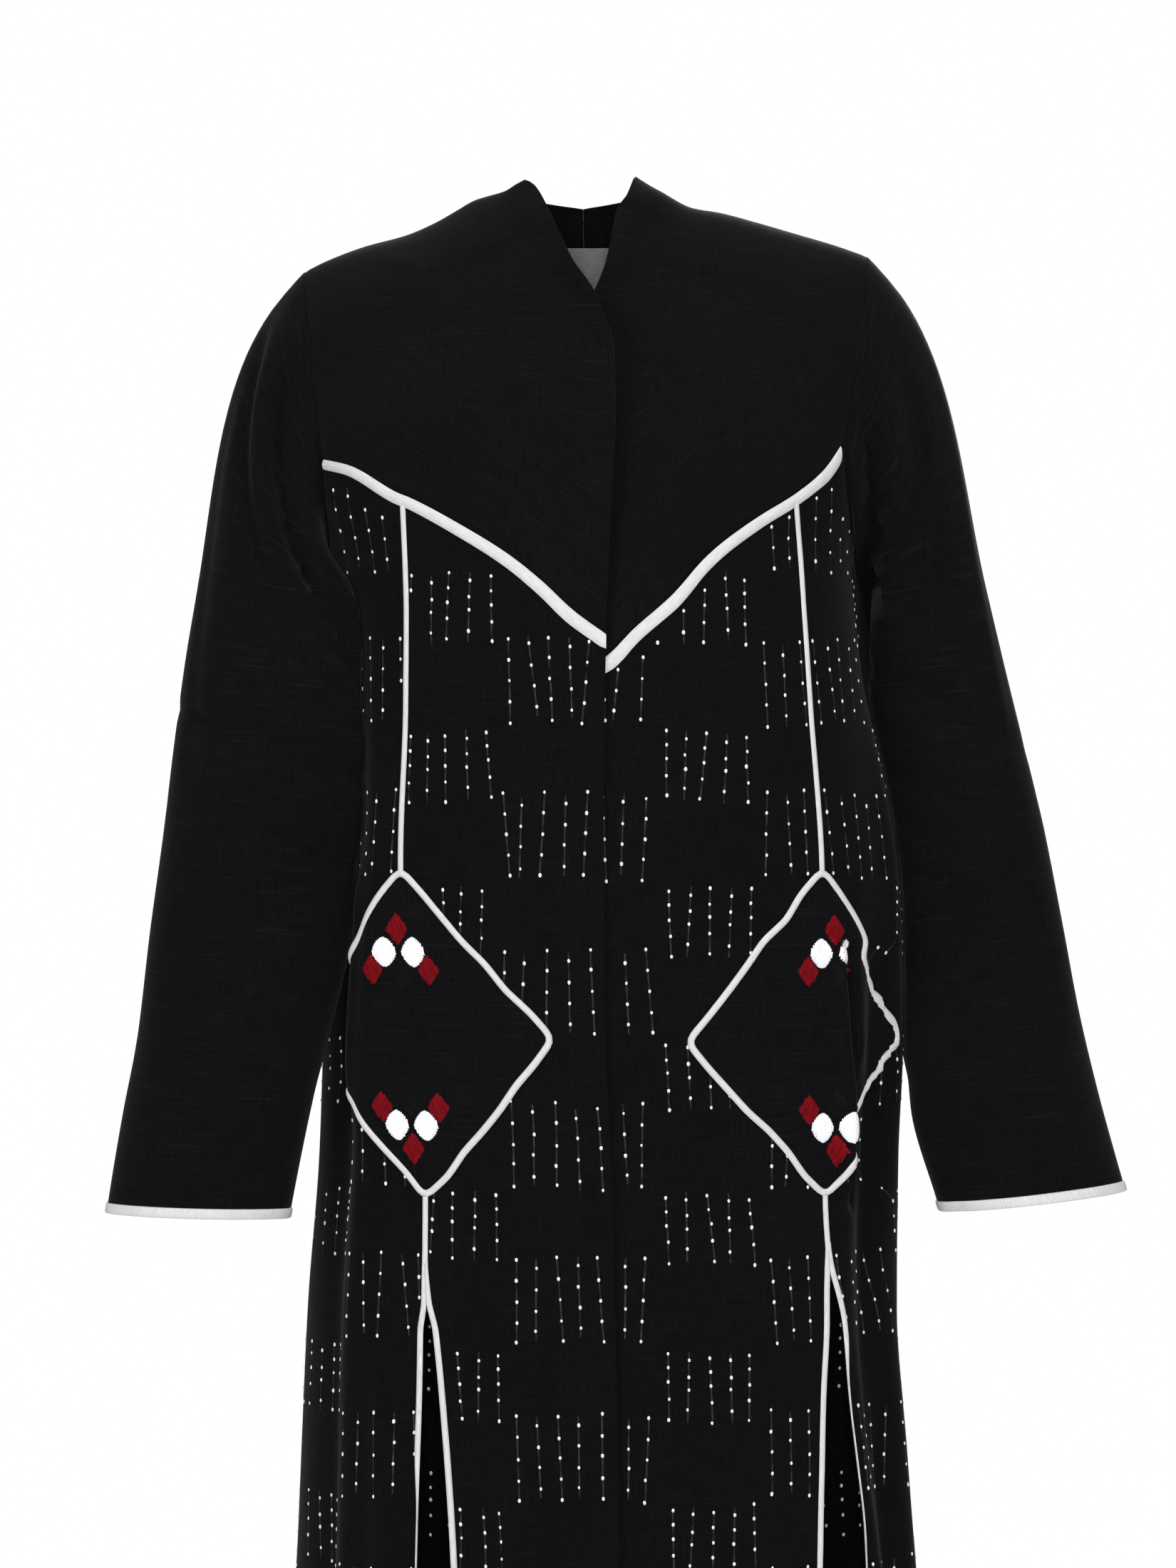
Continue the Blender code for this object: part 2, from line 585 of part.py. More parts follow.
def loop_turns(loop, half):
    """Turn round the sleeve of each armhole point: 0 at the shoulder, 90 in front, 180 at the underarm."""
    turns = []
    for start, end, base in ((0, half, 0.0), (half, len(loop), 180.0)):
        chain = [loop[k % len(loop)][0] for k in range(start, end + 1)]
        lengths = [(chain[k + 1] - chain[k]).length for k in range(len(chain) - 1)]
        total = sum(lengths)
        turns += [base + 180 * sum(lengths[:k]) / total for k in range(len(lengths))]
    return turns


def ring_point(side, row, turn):
    """Point of a sleeve ring; row 0 is the first full ring and the last is the cuff seam."""
    last = len(SLEEVE[side]) - 1
    keyed = [Keyed(k, *ring) for k, ring in enumerate(SLEEVE[side])]
    ring = Ring(*(read(keyed, "key", field, row * last) for field in Ring._fields))
    outer = Vector((ring.outer_x, ring.middle_y, ring.outer_z))
    inner = Vector((ring.inner_x, ring.middle_y, ring.inner_z))
    angle = math.radians(turn)
    front = Vector((0, -ring.depth / 2, 0))
    return (outer + inner) / 2 + (outer - inner) / 2 * math.cos(angle) + front * math.sin(angle)


Keyed = namedtuple("Keyed", ("key",) + Ring._fields)


def clear_of_body(point, clearance):
    """The point moved out of the body's section and a clearance round it."""
    if point.z > BODY[1].z + 20:
        return point
    right = read(BODY, "z", "right", point.z)
    left = read(BODY, "z", "left", point.z)
    depth = read(BODY, "z", "front" if point.y < 0 else "back", point.z)
    centre, half = (right + left) / 2, (left - right) / 2
    folds = 8.0 * smooth((-250 - point.z) / 150)
    reach = (abs((point.x - centre) / half) ** SQUARENESS + abs(point.y / depth) ** SQUARENESS) ** (1 / SQUARENESS)
    wanted = 1 + (clearance + folds) / half
    if reach >= wanted:
        return point
    scale = wanted / reach
    return Vector((centre + (point.x - centre) * scale, point.y * scale, point.z))


def sleeve_fold(side, row, turn):
    total = 0.0
    for fold in SLEEVE_FOLDS[side]:
        share = (row - fold.top_row) / (fold.low_row - fold.top_row)
        if not -0.35 < share < 1.35:
            continue
        away = (turn - mix(fold.top_turn, fold.low_turn, share) + 180) % 360 - 180
        ends = smooth((share + 0.35) / 0.35) * smooth((1.35 - share) / 0.35)
        total += fold.height * ends * math.exp(-(away / fold.half_width) ** 2)
    return total


def sleeve_rows(side):
    """Rows of points down a sleeve, from the armhole to the cuff seam, and their outward normals."""
    loop, half = armhole(side)
    turns = loop_turns(loop, half)
    rows = [[] for _ in range(CAP_ROWS + RING_ROWS + 1)]
    for k, ((start, out), turn) in enumerate(zip(loop, turns)):
        under = (1 - math.cos(math.radians(turn))) / 2
        seam_way = loop[(k + 1) % len(loop)][0] - loop[k - 1][0]
        away = seam_way.cross(out).normalized() * -side
        end = ring_point(side, 0.0, turn)
        reach = (end - start).length
        leave = Vector((side * mix(0.75, 0.30, under), 0, -mix(0.66, 0.95, under)))
        leave.y = -0.12 * math.sin(math.radians(turn))
        leave = leave.normalized() * reach
        arrive = (ring_point(side, 0.08, turn) - end).normalized() * reach
        for r in range(CAP_ROWS):
            t = r / CAP_ROWS
            point = (start * (1 + 2 * t) * (1 - t) ** 2 + leave * t * (1 - t) ** 2
                     + end * t * t * (3 - 2 * t) + arrive * t * t * (t - 1))
            if r == 0:
                point = start + away * SEAM_GAP * 1.3 + out * SEAM_GAP * 2 * smooth((under - 0.5) / 0.3)
            else:
                point = clear_of_body(point, SLEEVE_CLEARANCE * smooth(t * 2))
            rows[r].append(point)
        for r in range(RING_ROWS + 1):
            rows[CAP_ROWS + r].append(clear_of_body(ring_point(side, r / RING_ROWS, turn), SLEEVE_CLEARANCE))
    return fold_rows(side, rows, turns, loop)


def fold_rows(side, rows, turns, loop):
    """The sleeve's rows with folds pressed in, and the outward normals."""
    flat = grid_normals(rows, -side)
    folded = []
    for r, row in enumerate(rows):
        shift = smooth(r / 2)
        folded.append([point + flat[r][k] * sleeve_fold(side, r, turns[k]) * shift for k, point in enumerate(row)])
    for r in range(2, len(folded)):
        folded[r] = [clear_of_body(point, 2.0) for point in folded[r]]
    normals = grid_normals(folded, -side)
    for k, (_, out) in enumerate(loop):
        share = (1 + math.cos(math.radians(turns[k]))) / 2
        normals[0][k] = (out * share + normals[0][k] * (1 - share)).normalized()
    return folded, normals


def grid_normals(rows, facing):
    """Normals of a closed tube of rows, from neighbouring points."""
    count = len(rows[0])
    result = []
    for r in range(len(rows)):
        above, below = rows[max(0, r - 1)], rows[min(len(rows) - 1, r + 1)]
        outs = []
        for k in range(count):
            round_way = rows[r][(k + 1) % count] - rows[r][k - 1]
            down = below[k] - above[k]
            outs.append(down.cross(round_way).normalized() * facing)
        result.append(outs)
    return result


def dressed_place(panels, side, turn, z):
    """Point and normal of the faceted fronts of one side at a turn and height."""
    seam = princess_turn(side, z, "side_x")
    on_side = (turn - seam) * side > 0
    panel = panels["side"] if on_side else panels["centre"]
    if abs(turn) > SIDE_TURN:
        panel = panels["back"]
        turn = turn % 360
    return panel.place(turn, z), body_normal(turn, z, panel.under)


Spot = namedtuple("Spot", "across z point out")


def cloth_way(side, turn, z):
    """Distance along the cloth from the princess seam to a turn, towards the side seam positive."""
    seam = princess_turn(side, z, "side_x")
    steps = max(1, math.ceil(abs(turn - seam)))
    spots = [body_point(mix(seam, turn, k / steps), z) for k in range(steps + 1)]
    length = sum((spots[k + 1] - spots[k]).length for k in range(steps))
    return math.copysign(length, (turn - seam) * side)


def pocket_ground(panels, side):
    """Facets of the fronts round a pocket, as triangles of spots."""
    centre, outer = panels["centre"], panels["side"]
    rows = []
    for j in range(FAN_ROWS, FAN_ROWS + LEVEL_ROWS):
        z = centre.heights[0][j]
        if not POCKET_LOW_Z - POCKET_MARGIN < z < POCKET_TOP_Z + POCKET_MARGIN:
            continue
        row = [Spot(cloth_way(side, centre.turns[i][j], z), z, centre.corner(i, j), centre.normal(i, j))
               for i in range(CENTRE_COLUMNS)]
        seam = (centre.corner(CENTRE_COLUMNS, j) + outer.corner(0, j)) / 2
        row.append(Spot(0.0, z, seam, outer.normal(0, j)))
        row += [Spot(cloth_way(side, outer.turns[i][j], z), z, outer.corner(i, j), outer.normal(i, j))
                for i in range(1, outer.count)]
        rows.append(row)
    facets = []
    for above, below in zip(rows, rows[1:]):
        for i in range(len(above) - 1):
            facets.append((above[i], below[i], below[i + 1]))
            facets.append((above[i], below[i + 1], above[i + 1]))
    return facets


def outline_corners(side, grow=0.0):
    """Corners of a pocket's outline, or of one that is larger all round."""
    half = POCKET[side]
    corners = [Vector(p) for p in (
        (-POCKET_TIP, POCKET_TOP_Z), (-half.centre_width, half.corner_z), (-POCKET_TIP, POCKET_LOW_Z),
        (POCKET_TIP, POCKET_LOW_Z), (half.side_width, half.corner_z), (POCKET_TIP, POCKET_TOP_Z))]
    result = []
    for k, corner in enumerate(corners):
        outs = []
        for start, end in ((corners[k - 1], corner), (corner, corners[(k + 1) % len(corners)])):
            way = (end - start).normalized()
            outs.append(Vector((way.y, -way.x)))
        result.append(corner + (outs[0] + outs[1]) * (grow / (1 + outs[0].dot(outs[1]))))
    return result


def clip(facet, outline):
    """The part of a facet inside a convex outline of (across, z) corners that run round the same way."""
    shape = list(facet)
    for k, start in enumerate(outline):
        way = outline[(k + 1) % len(outline)] - start
        kept = []
        for i, spot in enumerate(shape):
            previous = shape[i - 1]
            here = way.x * (spot.z - start.y) - way.y * (spot.across - start.x)
            there = way.x * (previous.z - start.y) - way.y * (previous.across - start.x)
            if (here >= 0) != (there >= 0):
                share = there / (there - here)
                kept.append(Spot(mix(previous.across, spot.across, share), mix(previous.z, spot.z, share),
                                 previous.point.lerp(spot.point, share), previous.out.lerp(spot.out, share)))
            if here >= 0:
                kept.append(spot)
        shape = kept
    return shape


def laid_wall(name, facets, outlines, lift, thick, material):
    """A flat piece that lies on the facets, cut to the outlines."""
    places, spots, shapes = {}, [], []
    for outline in outlines:
        for facet in facets:
            shape = []
            for spot in clip(facet, outline):
                key = tuple(round(v, 2) for v in spot.point)
                if key not in places:
                    places[key] = len(spots)
                    spots.append(spot)
                if places[key] not in shape:
                    shape.append(places[key])
            if len(shape) > 2:
                shapes.append(shape)
    outs = [spot.out.normalized() for spot in spots]
    points = [(spot.point + out * (lift + thick)) * MM for spot, out in zip(spots, outs)]
    points += [(spot.point + out * lift) * MM for spot, out in zip(spots, outs)]
    half = len(spots)
    edges = {(shape[k - 1], shape[k]) for shape in shapes for k in range(len(shape))}
    faces = [tuple(shape) for shape in shapes] + [tuple(half + k for k in reversed(shape)) for shape in shapes]
    faces += [(b, a, half + a, half + b) for a, b in sorted(edges) if (b, a) not in edges]
    return add_object(name, points, faces, material)


def trim_wall(name, left, right, material):
    """A low rounded strip between two lines of (point, normal) pairs that lie on the cloth."""
    crown = 0.22
    rows = []
    for (a, na), (b, nb) in zip(left, right):
        middle_normal = (na + nb).normalized()
        rows.append([a + na * TRIM_LIFT,
                     a.lerp(b, crown) + middle_normal * (TRIM_LIFT + TRIM_THICK),
                     a.lerp(b, 1 - crown) + middle_normal * (TRIM_LIFT + TRIM_THICK),
                     b + nb * TRIM_LIFT])
    points = [p * MM for row in rows for p in row]
    count = len(rows)
    faces = []
    for i in range(count - 1):
        here, there = 4 * i, 4 * (i + 1)
        for k in range(4):
            faces.append((here + k, here + (k + 1) % 4, there + (k + 1) % 4, there + k))
    faces.append((3, 2, 1, 0))
    last = 4 * (count - 1)
    faces.append((last, last + 1, last + 2, last + 3))
    return add_object(name, points, faces, material)


def princess_trim(name, panels, side, top, low, material, steps):
    left, right = [], []
    for k in range(steps + 1):
        z = mix(top, low, k / steps)
        turn = princess_turn(side, z, "side_x")
        for line, distance in ((left, -PIPING_WIDTH / 2), (right, PIPING_WIDTH / 2)):
            line.append(dressed_place(panels, side, shift_turn(turn, z, distance), z))
    trim_wall(name, left, right, material)


def slit_edge(name, panels, side, edge, material, steps=16):
    """Binding along one edge of a slit, on the outside of its panel."""
    panel = panels["centre"] if edge == "centre_x" else panels["side"]
    inward = -side if edge == "centre_x" else side
    left, right = [], []
    for k in range(steps + 1):
        z = mix(SLIT_TOP_Z - 24, HEM_Z, k / steps)
        turn = princess_turn(side, z, edge)
        for line, distance in ((left, 0.0), (right, inward * PIPING_WIDTH)):
            place = shift_turn(turn, z, distance)
            line.append((panel.place(place, z), body_normal(place, z, panel.under)))
    trim_wall(name, left, right, material)


def yoke_binding(name, panels, side, material, steps=16):
    """Bias binding that lies just below the yoke seam."""
    start, end = YOKE_SEAM[side][0].x, YOKE_SEAM[side][-1].x
    first = 0.0 if side < 0 else 0.19
    upper, lower = [], []
    for k in range(steps + 1):
        x = mix(start, end, mix(first, 0.985, k / steps))
        z = seam_z(side, x) - 0.8
        slope = (seam_z(side, x + 4) - seam_z(side, x - 4)) / 8
        drop = BINDING_WIDTH * math.hypot(1, slope) * 0.93
        for line, height in ((upper, z), (lower, z - drop)):
            turn = turn_at(x, height)
            line.append(dressed_place(panels, side, turn, height))
    trim_wall(name, upper, lower, material)


def cuff_band(name, rows, normals, material):
    """Binding ring that carries on from the sleeve's end."""
    last, before = rows[-1], rows[-2]
    top, low = [], []
    for point, previous in zip(last, before):
        way = (point - previous).normalized()
        top.append(point + way * SEAM_GAP)
        low.append(point + way * (SEAM_GAP + CUFF_BAND))
    outer = [[p + n * CUFF_STAND for p, n in zip(row, normals[-1])] for row in (top, low)]
    inner = [[p - n * (WALL + CUFF_STAND) for p, n in zip(row, normals[-1])] for row in (top, low)]
    closed_wall(name, outer, inner, material, ring=True)


def neck_label(material):
    """Bare woven label inside the back neck, hung from the stand's seam."""
    points, normals = [], []
    for j in range(4):
        z = LABEL_TOP_Z - LABEL_DROP * j / 3
        row, outs = [], []
        for i in range(5):
            x = mix(-LABEL_WIDTH / 2, LABEL_WIDTH / 2, i / 4) + 2.0
            point, out = back_yoke_at(x, z)
            row.append(point - out * (WALL + LABEL_GAP + LABEL_THICK))
            outs.append(out)
        points.append(row)
        normals.append(outs)
    grid_wall("neck_label", points, normals, material, thick=LABEL_THICK - 0.001, lift=0.001)


def back_yoke_at(x, z):
    """Point and normal of the back yoke nearest an x and height near centre back."""
    side = -1 if x < 0 else 1
    u, v = 0.1, 0.8
    for _ in range(30):
        point = back_yoke_point(side, u, v)
        u = min(0.5, max(0.0, u + (x - point.x) * side / 180))
        v = min(0.99, max(0.1, v + (z - point.z) / 260))
    across = back_yoke_point(side, min(1, u + 0.01), v) - back_yoke_point(side, max(0, u - 0.01), v)
    up = back_yoke_point(side, u, v + 0.01) - back_yoke_point(side, u, v - 0.01)
    return back_yoke_point(side, u, v), across.cross(up).normalized() * -side


def new_material(name, color, roughness):
    material = bpy.data.materials.new(name)
    material.use_nodes = True
    shader = material.node_tree.nodes["Principled BSDF"]
    shader.inputs["Base Color"].default_value = (*color, 1)
    shader.inputs["Roughness"].default_value = roughness
    shader.inputs["Metallic"].default_value = 0.0
    material.diffuse_color = (*color, 1)
    return material


def clear_scene():
    for item in list(bpy.data.objects):
        bpy.data.objects.remove(item, do_unlink=True)
    group = bpy.data.collections.new("abaya")
    bpy.context.scene.collection.children.link(group)


def build_side(name, side, back, plain, dotted, trim):
    """Every piece of one side of the garment."""
    panels = {"centre": centre_panel(side), "side": side_panel(side), "back": back}
    panel_wall(f"centre_front_{name}", panels["centre"], dotted)
    panel_wall(f"side_front_{name}", panels["side"], dotted)
    points, normals = yoke_grid(front_yoke_point, side, side, (0.0, 0.001))
    grid_wall(f"front_yoke_{name}", points, normals, plain)
    points, normals = yoke_grid(back_yoke_point, side, -side, (0.0016, 0.001))
    grid_wall(f"back_yoke_{name}", points, normals, plain)
    rows, normals = sleeve_rows(side)
    grid_wall(f"sleeve_{name}", rows, normals, plain, ring=True)
    cuff_band(f"cuff_binding_{name}", rows, normals, trim)
    facets = pocket_ground(panels, side)
    laid_wall(f"pocket_{name}", facets, [outline_corners(side)], POCKET_LIFT, POCKET_WALL, plain)
    pocket_piping(name, facets, side, trim)
    yoke_binding(f"yoke_binding_{name}", panels, side, trim)
    seam_top = seam_z(side, PRINCESS[side][0].side_x) - BINDING_WIDTH * 1.3
    princess_trim(f"princess_piping_{name}", panels, side, seam_top, POCKET_TOP_Z + PIPING_WIDTH + 2, trim, 7)
    princess_trim(f"lower_piping_{name}", panels, side, POCKET_LOW_Z - PIPING_WIDTH - 2, SLIT_TOP_Z - 6, trim, 3)
    slit_edge(f"slit_binding_centre_{name}", panels, side, "centre_x", trim)
    slit_edge(f"slit_binding_side_{name}", panels, side, "side_x", trim)


def pocket_piping(name, facets, side, material):
    """Piping that lies round the outside of the pocket's edge."""
    inner = outline_corners(side, PIPING_GAP)
    outer = outline_corners(side, PIPING_GAP + PIPING_WIDTH)
    outlines = []
    for k in range(len(inner)):
        outlines.append([inner[k - 1], outer[k - 1], outer[k], inner[k]])
    laid_wall(f"pocket_piping_{name}", facets, outlines, PIPING_LIFT, PIPING_THICK, material)


def main():
    clear_scene()
    plain = new_material("plain_black", (0.012, 0.012, 0.014), 0.85)
    dotted = new_material("dotted_black", (0.016, 0.016, 0.019), 0.85)
    trim = new_material("white_binding", (0.80, 0.78, 0.74), 0.75)
    label = new_material("label", (0.45, 0.45, 0.46), 0.8)
    back = back_panel()
    panel_wall("back", back, dotted)
    for name, side in SIDES.items():
        build_side(name, side, back, plain, dotted, trim)
    neck_label(label)


main()
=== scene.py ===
"""Dressed abaya: thin cloth shells on the solids' surfaces, woven dots, bindings, embroidery, label and studio."""
import math
from collections import namedtuple

import bpy
import numpy as np
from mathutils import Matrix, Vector


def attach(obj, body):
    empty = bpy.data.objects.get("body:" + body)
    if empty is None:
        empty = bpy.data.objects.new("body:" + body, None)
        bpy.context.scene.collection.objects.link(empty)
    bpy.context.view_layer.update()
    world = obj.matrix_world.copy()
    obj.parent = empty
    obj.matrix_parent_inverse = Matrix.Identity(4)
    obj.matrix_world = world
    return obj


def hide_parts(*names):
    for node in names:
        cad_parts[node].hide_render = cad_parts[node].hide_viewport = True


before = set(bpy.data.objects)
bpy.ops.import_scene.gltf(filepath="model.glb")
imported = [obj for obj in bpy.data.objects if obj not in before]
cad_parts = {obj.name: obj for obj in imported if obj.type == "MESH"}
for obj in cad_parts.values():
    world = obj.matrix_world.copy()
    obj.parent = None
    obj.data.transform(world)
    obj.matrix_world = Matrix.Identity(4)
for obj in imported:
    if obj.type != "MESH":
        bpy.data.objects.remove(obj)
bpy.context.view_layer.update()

MM = 0.001
SEAM_GAP = 0.3
HEM_Z = -1344.0
SIDES = {"right": -1, "left": 1}


def table(kind, *rows):
    """The rows of a table, their columns named."""
    return tuple(kind(*row) for row in rows)


# Horizontal sections of the worn body: the two sides' x, and the depth before and behind the side line
Section = namedtuple("Section", "z right left front back")
BODY = table(
    Section, (-150, -192, 196, 114, 103), (-200, -184, 190, 118, 105), (-232, -171, 181, 120, 104),
    (-300, -160, 186, 121, 99), (-390, -156, 198, 117, 97), (-480, -162, 207, 114, 102), (-560, -166, 208, 114, 109),
    (-640, -169, 205, 116, 114), (-740, -176, 204, 119, 118), (-830, -179, 210, 123, 122),
    (-905, -181, 215, 127, 126), (-1100, -194, 229, 138, 136), (-1344, -208, 244, 150, 148))
SQUARENESS = 2.3
SIDE_TURN = 90.0
UNDERARM_Z = {-1: -232.0, 1: -226.0}
BACK_SEAM_Z = -186.0
BACK_ARM_TURN = 116.0
LEVEL_Z = -345.0

# Front edges from the collar's peak to the hem, the right front's lap edge and the left front's hidden edge
Edge = namedtuple("Edge", "z x")
FRONT_EDGE = {
    -1: table(
        Edge, (16.5, -39.1), (10.4, -32.3), (-3.8, -24.6), (-26.9, -14.1), (-41.7, -7.0), (-63.5, 7.6), (-77, 12.3),
        (-95.3, 19.3), (-113.4, 20.7), (-143.7, 21.1), (-201.6, 18.7), (-301, 15.0), (-394, 13.6), (-528, 14.1),
        (-644, 18.7), (-775, 22.0), (-899, 24.3), (-1100, 28.0), (-1344, 32.0)),
    1: table(
        Edge, (18.6, 35.3), (3.1, 29.5), (-4.7, 23.7), (-16.4, 20.9), (-30.3, 18.5), (-45.7, 14.7), (-61.9, 8.1),
        (-85, -3.0), (-120, -12.0), (-180, -17.0), (-300, -20.0), (-644, -18.0), (-1344, -12.0)),
}
LAP_STEP = 3.2
LAP_FADE = 48.0
LAP_FLAT = 6.0
LAP_TOP_Z = -18.0
LAP_RISE = 34.0

# The yoke seam, from the front edge to the armhole
YOKE_SEAM = {
    -1: table(
        Edge, (-290.8, 15.2), (-275.4, -5.9), (-255.8, -26.9), (-238.9, -47.9), (-221.9, -74.6), (-200.2, -114.2),
        (-197.3, -121.3), (-177.9, -154.5), (-172.8, -173.1)),
    1: table(
        Edge, (-322.0, -20.0), (-305.6, 14.5), (-287.0, 33.6), (-265.1, 58.3), (-241.2, 79.3), (-229.5, 92.4),
        (-213.2, 115.0), (-197.1, 140.3), (-181.8, 158.3), (-159.4, 174.0)),
}

# Collar top and shoulder seam, from the collar's peak past the side of the neck to the shoulder point
Ridge = namedtuple("Ridge", "x y z")
SHOULDER = {
    -1: table(
        Ridge, (-39.1, -25, 16.5), (-46, -9, 14.5), (-52.3, 4, 11.8), (-72.6, 9, 6.1), (-85.6, 9, -1.3),
        (-100, 9, -9.5), (-118.8, 9, -17.7), (-148, 9, -25.8), (-174, 8, -35.9), (-187.6, 8, -42.7)),
    1: table(
        Ridge, (35.3, -25, 18.6), (42, -9, 16), (49.9, 4, 12.8), (74, 9, 0.6), (92.3, 9, -2.6), (114.5, 9, -8.5),
        (142.4, 9, -16.7), (169.8, 8, -24.9), (191.4, 8, -32.4)),
}
COLLAR_BACK_Y = 70.0
COLLAR_BACK_Z = 6.1
FRONT_ROUND = 1.8
SHOULDER_ROUND = 2.1
CENTRE_BACK_ROUND = 1.2
NECK_SHARE = 0.36

# Princess seams: from the slit's top down, the side panel's edge and the centre panel's edge part
SeamRow = namedtuple("SeamRow", "z side_x centre_x")
PRINCESS = {
    -1: table(
        SeamRow, (-200, -118.5, -118.5), (-276, -116, -116), (-341, -116.1, -116.1), (-448, -119, -119),
        (-560, -111, -111), (-657, -103.4, -103.4), (-700, -103.6, -103.6), (-744, -105.0, -98.6),
        (-785, -105.6, -94.4), (-863, -108.0, -88.5), (-905, -109.0, -86.4), (-1100, -113, -80), (-1344, -118, -74)),
    1: table(
        SeamRow, (-197, 139.8, 139.8), (-245, 143.6, 143.6), (-338, 149.8, 149.8), (-448, 157.5, 157.5),
        (-560, 159, 159), (-657, 159.1, 159.1), (-700, 161.2, 161.2), (-744, 169.5, 161.5), (-789, 174.6, 159.8),
        (-832, 180.0, 158.8), (-881, 184.5, 157.6), (-1100, 191, 154), (-1344, 198, 152)),
}
SLIT_TOP_Z = -700.0

# Folds of the worn cloth: a line down the body by turn, how far it stands out or dips, and its half width
Fold = namedtuple("Fold", "top_z top_turn low_z low_turn height half_width")
FOLDS = table(
    Fold, (-250, -58, -1344, -56, 7, 8), (-400, -74, -1344, -70, -8, 8), (-380, -96, -1344, -92, 10, 10),
    (-690, -47, -1344, -41, 6, 4), (-640, -6, -1344, -7, -5, 5.5), (-420, -10, -620, -10, -2.5, 4),
    (-640, -22, -1344, -23, -5, 5), (-760, -14, -1344, -15, 5, 4), (-500, 3, -1344, 4, -4, 4),
    (-560, 13, -1344, 15, -5, 5), (-760, 23, -1344, 26, 5, 5), (-470, 56, -700, 54, 4, 6),
    (-450, 66, -800, 64, -7, 6), (-300, 82, -1344, 80, 8, 8), (-680, 60, -1344, 60, 5, 4),
    (-720, 71, -1344, 71, -7, 4.5), (-520, 104, -1344, 106, -8, 7), (-420, 122, -1344, 124, 8, 9),
    (-560, 142, -1344, 143, -8, 8), (-480, 160, -1344, 161, 7, 9), (-600, 178, -1344, 178, -7, 8),
    (-500, 197, -1344, 196, 7, 9), (-560, 216, -1344, 215, -8, 8), (-420, 236, -1344, 234, 8, 9),
    (-520, 253, -1344, 251, -7, 7))
FOLD_FADE = 130.0
# Folds deepen towards the hem, from this height over this length
HEM_SWELL = 1.7
SWELL_TOP_Z = -700.0
SWELL_LENGTH = 600.0

# Sleeve rings: the outer and inner points seen from the front, the ring's middle y and its depth
Ring = namedtuple("Ring", "outer_x outer_z inner_x inner_z middle_y depth")
SLEEVE = {
    -1: table(
        Ring, (-257.5, -258, -140, -270, -34, 108), (-266, -312, -132, -324, -40, 106),
        (-273, -365, -133, -374, -40, 103), (-280, -422, -142, -431, -38, 99), (-289, -488, -156, -493, -38, 95),
        (-297, -556, -172, -563, -40, 90), (-306, -604, -182, -608, -42, 87), (-317.6, -666, -195.3, -669.5, -44, 83)),
    1: table(
        Ring, (271.5, -258, 184, -264, -4, 112), (284, -312, 190, -320, -8, 112), (296, -362, 199, -371, -12, 108),
        (308.5, -415, 206, -425, -16, 104), (321, -480, 214, -490, -20, 99), (332, -540, 216, -553, -24, 95),
        (344, -592, 219, -604, -28, 91), (360.1, -652.5, 235, -666.5, -32, 86)),
}
SLEEVE_CLEARANCE = 1.6
# How far the sleeve's body side is tucked inward and back, behind the body's edge
SLEEVE_TUCK = {-1: (2, 6), 1: (14, 34)}
# The tuck is full as far as this and then fades over this much, by share of the sleeve's length
TUCK_FULL_TO, TUCK_FADE = 0.62, 0.2
# The way a sleeve leaves the armhole, at the shoulder and at the underarm: outward and down, and how far ahead
LEAVE_OUT, LEAVE_DOWN, LEAVE_AHEAD = (0.75, 0.30), (0.66, 0.95), 0.12
CUFF_BAND = 6.8

# Folds of the sleeves, by the turn round the sleeve and the row down it
SleeveFold = namedtuple("SleeveFold", "top_row top_turn low_row low_turn height half_width")
SLEEVE_FOLDS = {
    -1: table(
        SleeveFold, (0.5, 62, 6.5, 128, -7, 13), (2, 30, 8, 118, -4, 12), (1.5, 45, 7, 108, 5, 12),
        (8.5, 40, 9.5, 140, -4, 26), (11, 130, 12.5, 70, -3, 26), (9, 215, 10, 300, -4, 28), (1, 290, 7, 235, -6, 14),
        (12, 240, 13.5, 300, -3, 26)),
    1: table(
        SleeveFold, (0.5, 70, 6.5, 118, 6, 12), (1, 92, 6.5, 140, -7, 13), (7.5, 120, 9, 50, -4, 24),
        (11, 60, 12, 130, 3, 24), (1, 288, 7, 235, -6, 14), (9, 215, 10, 300, -4, 28)),
}
# How far past its rows a sleeve's fold fades out, as a share of its length
FOLD_REACH = 0.35
CAP_ROWS = 6
RING_ROWS = 11

# Pockets lie over the princess seams
POCKET_TOP_Z = -447.0
POCKET_LOW_Z = -657.0
POCKET_STEPS = 44
# The hand-sewn edge: how far it wavers, between how many places, and how far each side bows out
POCKET_WAVER = 0.9
POCKET_KNOTS = 8
POCKET_BOW = 1.6
# The pocket's rings, from near the middle; how far its edge stands off the cloth and its middle beyond that
POCKET_RING_SHARES = (0.02, 0.97)
POCKET_LIFT = 1.0
POCKET_PAD = 1.3
PocketHalf = namedtuple("PocketHalf", "centre_width side_width corner_z")
POCKET = {-1: PocketHalf(92, 88, -555), 1: PocketHalf(92, 86, -557)}

# Soft folds of the front yokes, all slanting alike, and the share of a crease over which each end fades
YOKE_FOLD_SLANT = 0.35
CREASE_ENDS = 0.3
YokeFold = namedtuple("YokeFold", "x z reach_x reach_z height")
YOKE_FOLDS = {
    -1: table(
        YokeFold, (-150, -70, 60, 14, 3.0), (-140, -108, 70, 16, -3.0), (-60, -40, 60, 12, -2.5),
        (-110, -150, 80, 20, 2.5)),
    1: table(
        YokeFold, (85, -60, 50, 14, -2.5), (60, -95, 50, 16, 2.5), (62, -245, 40, 12, -3.0),
        (150, -120, 50, 22, -2.5)),
}

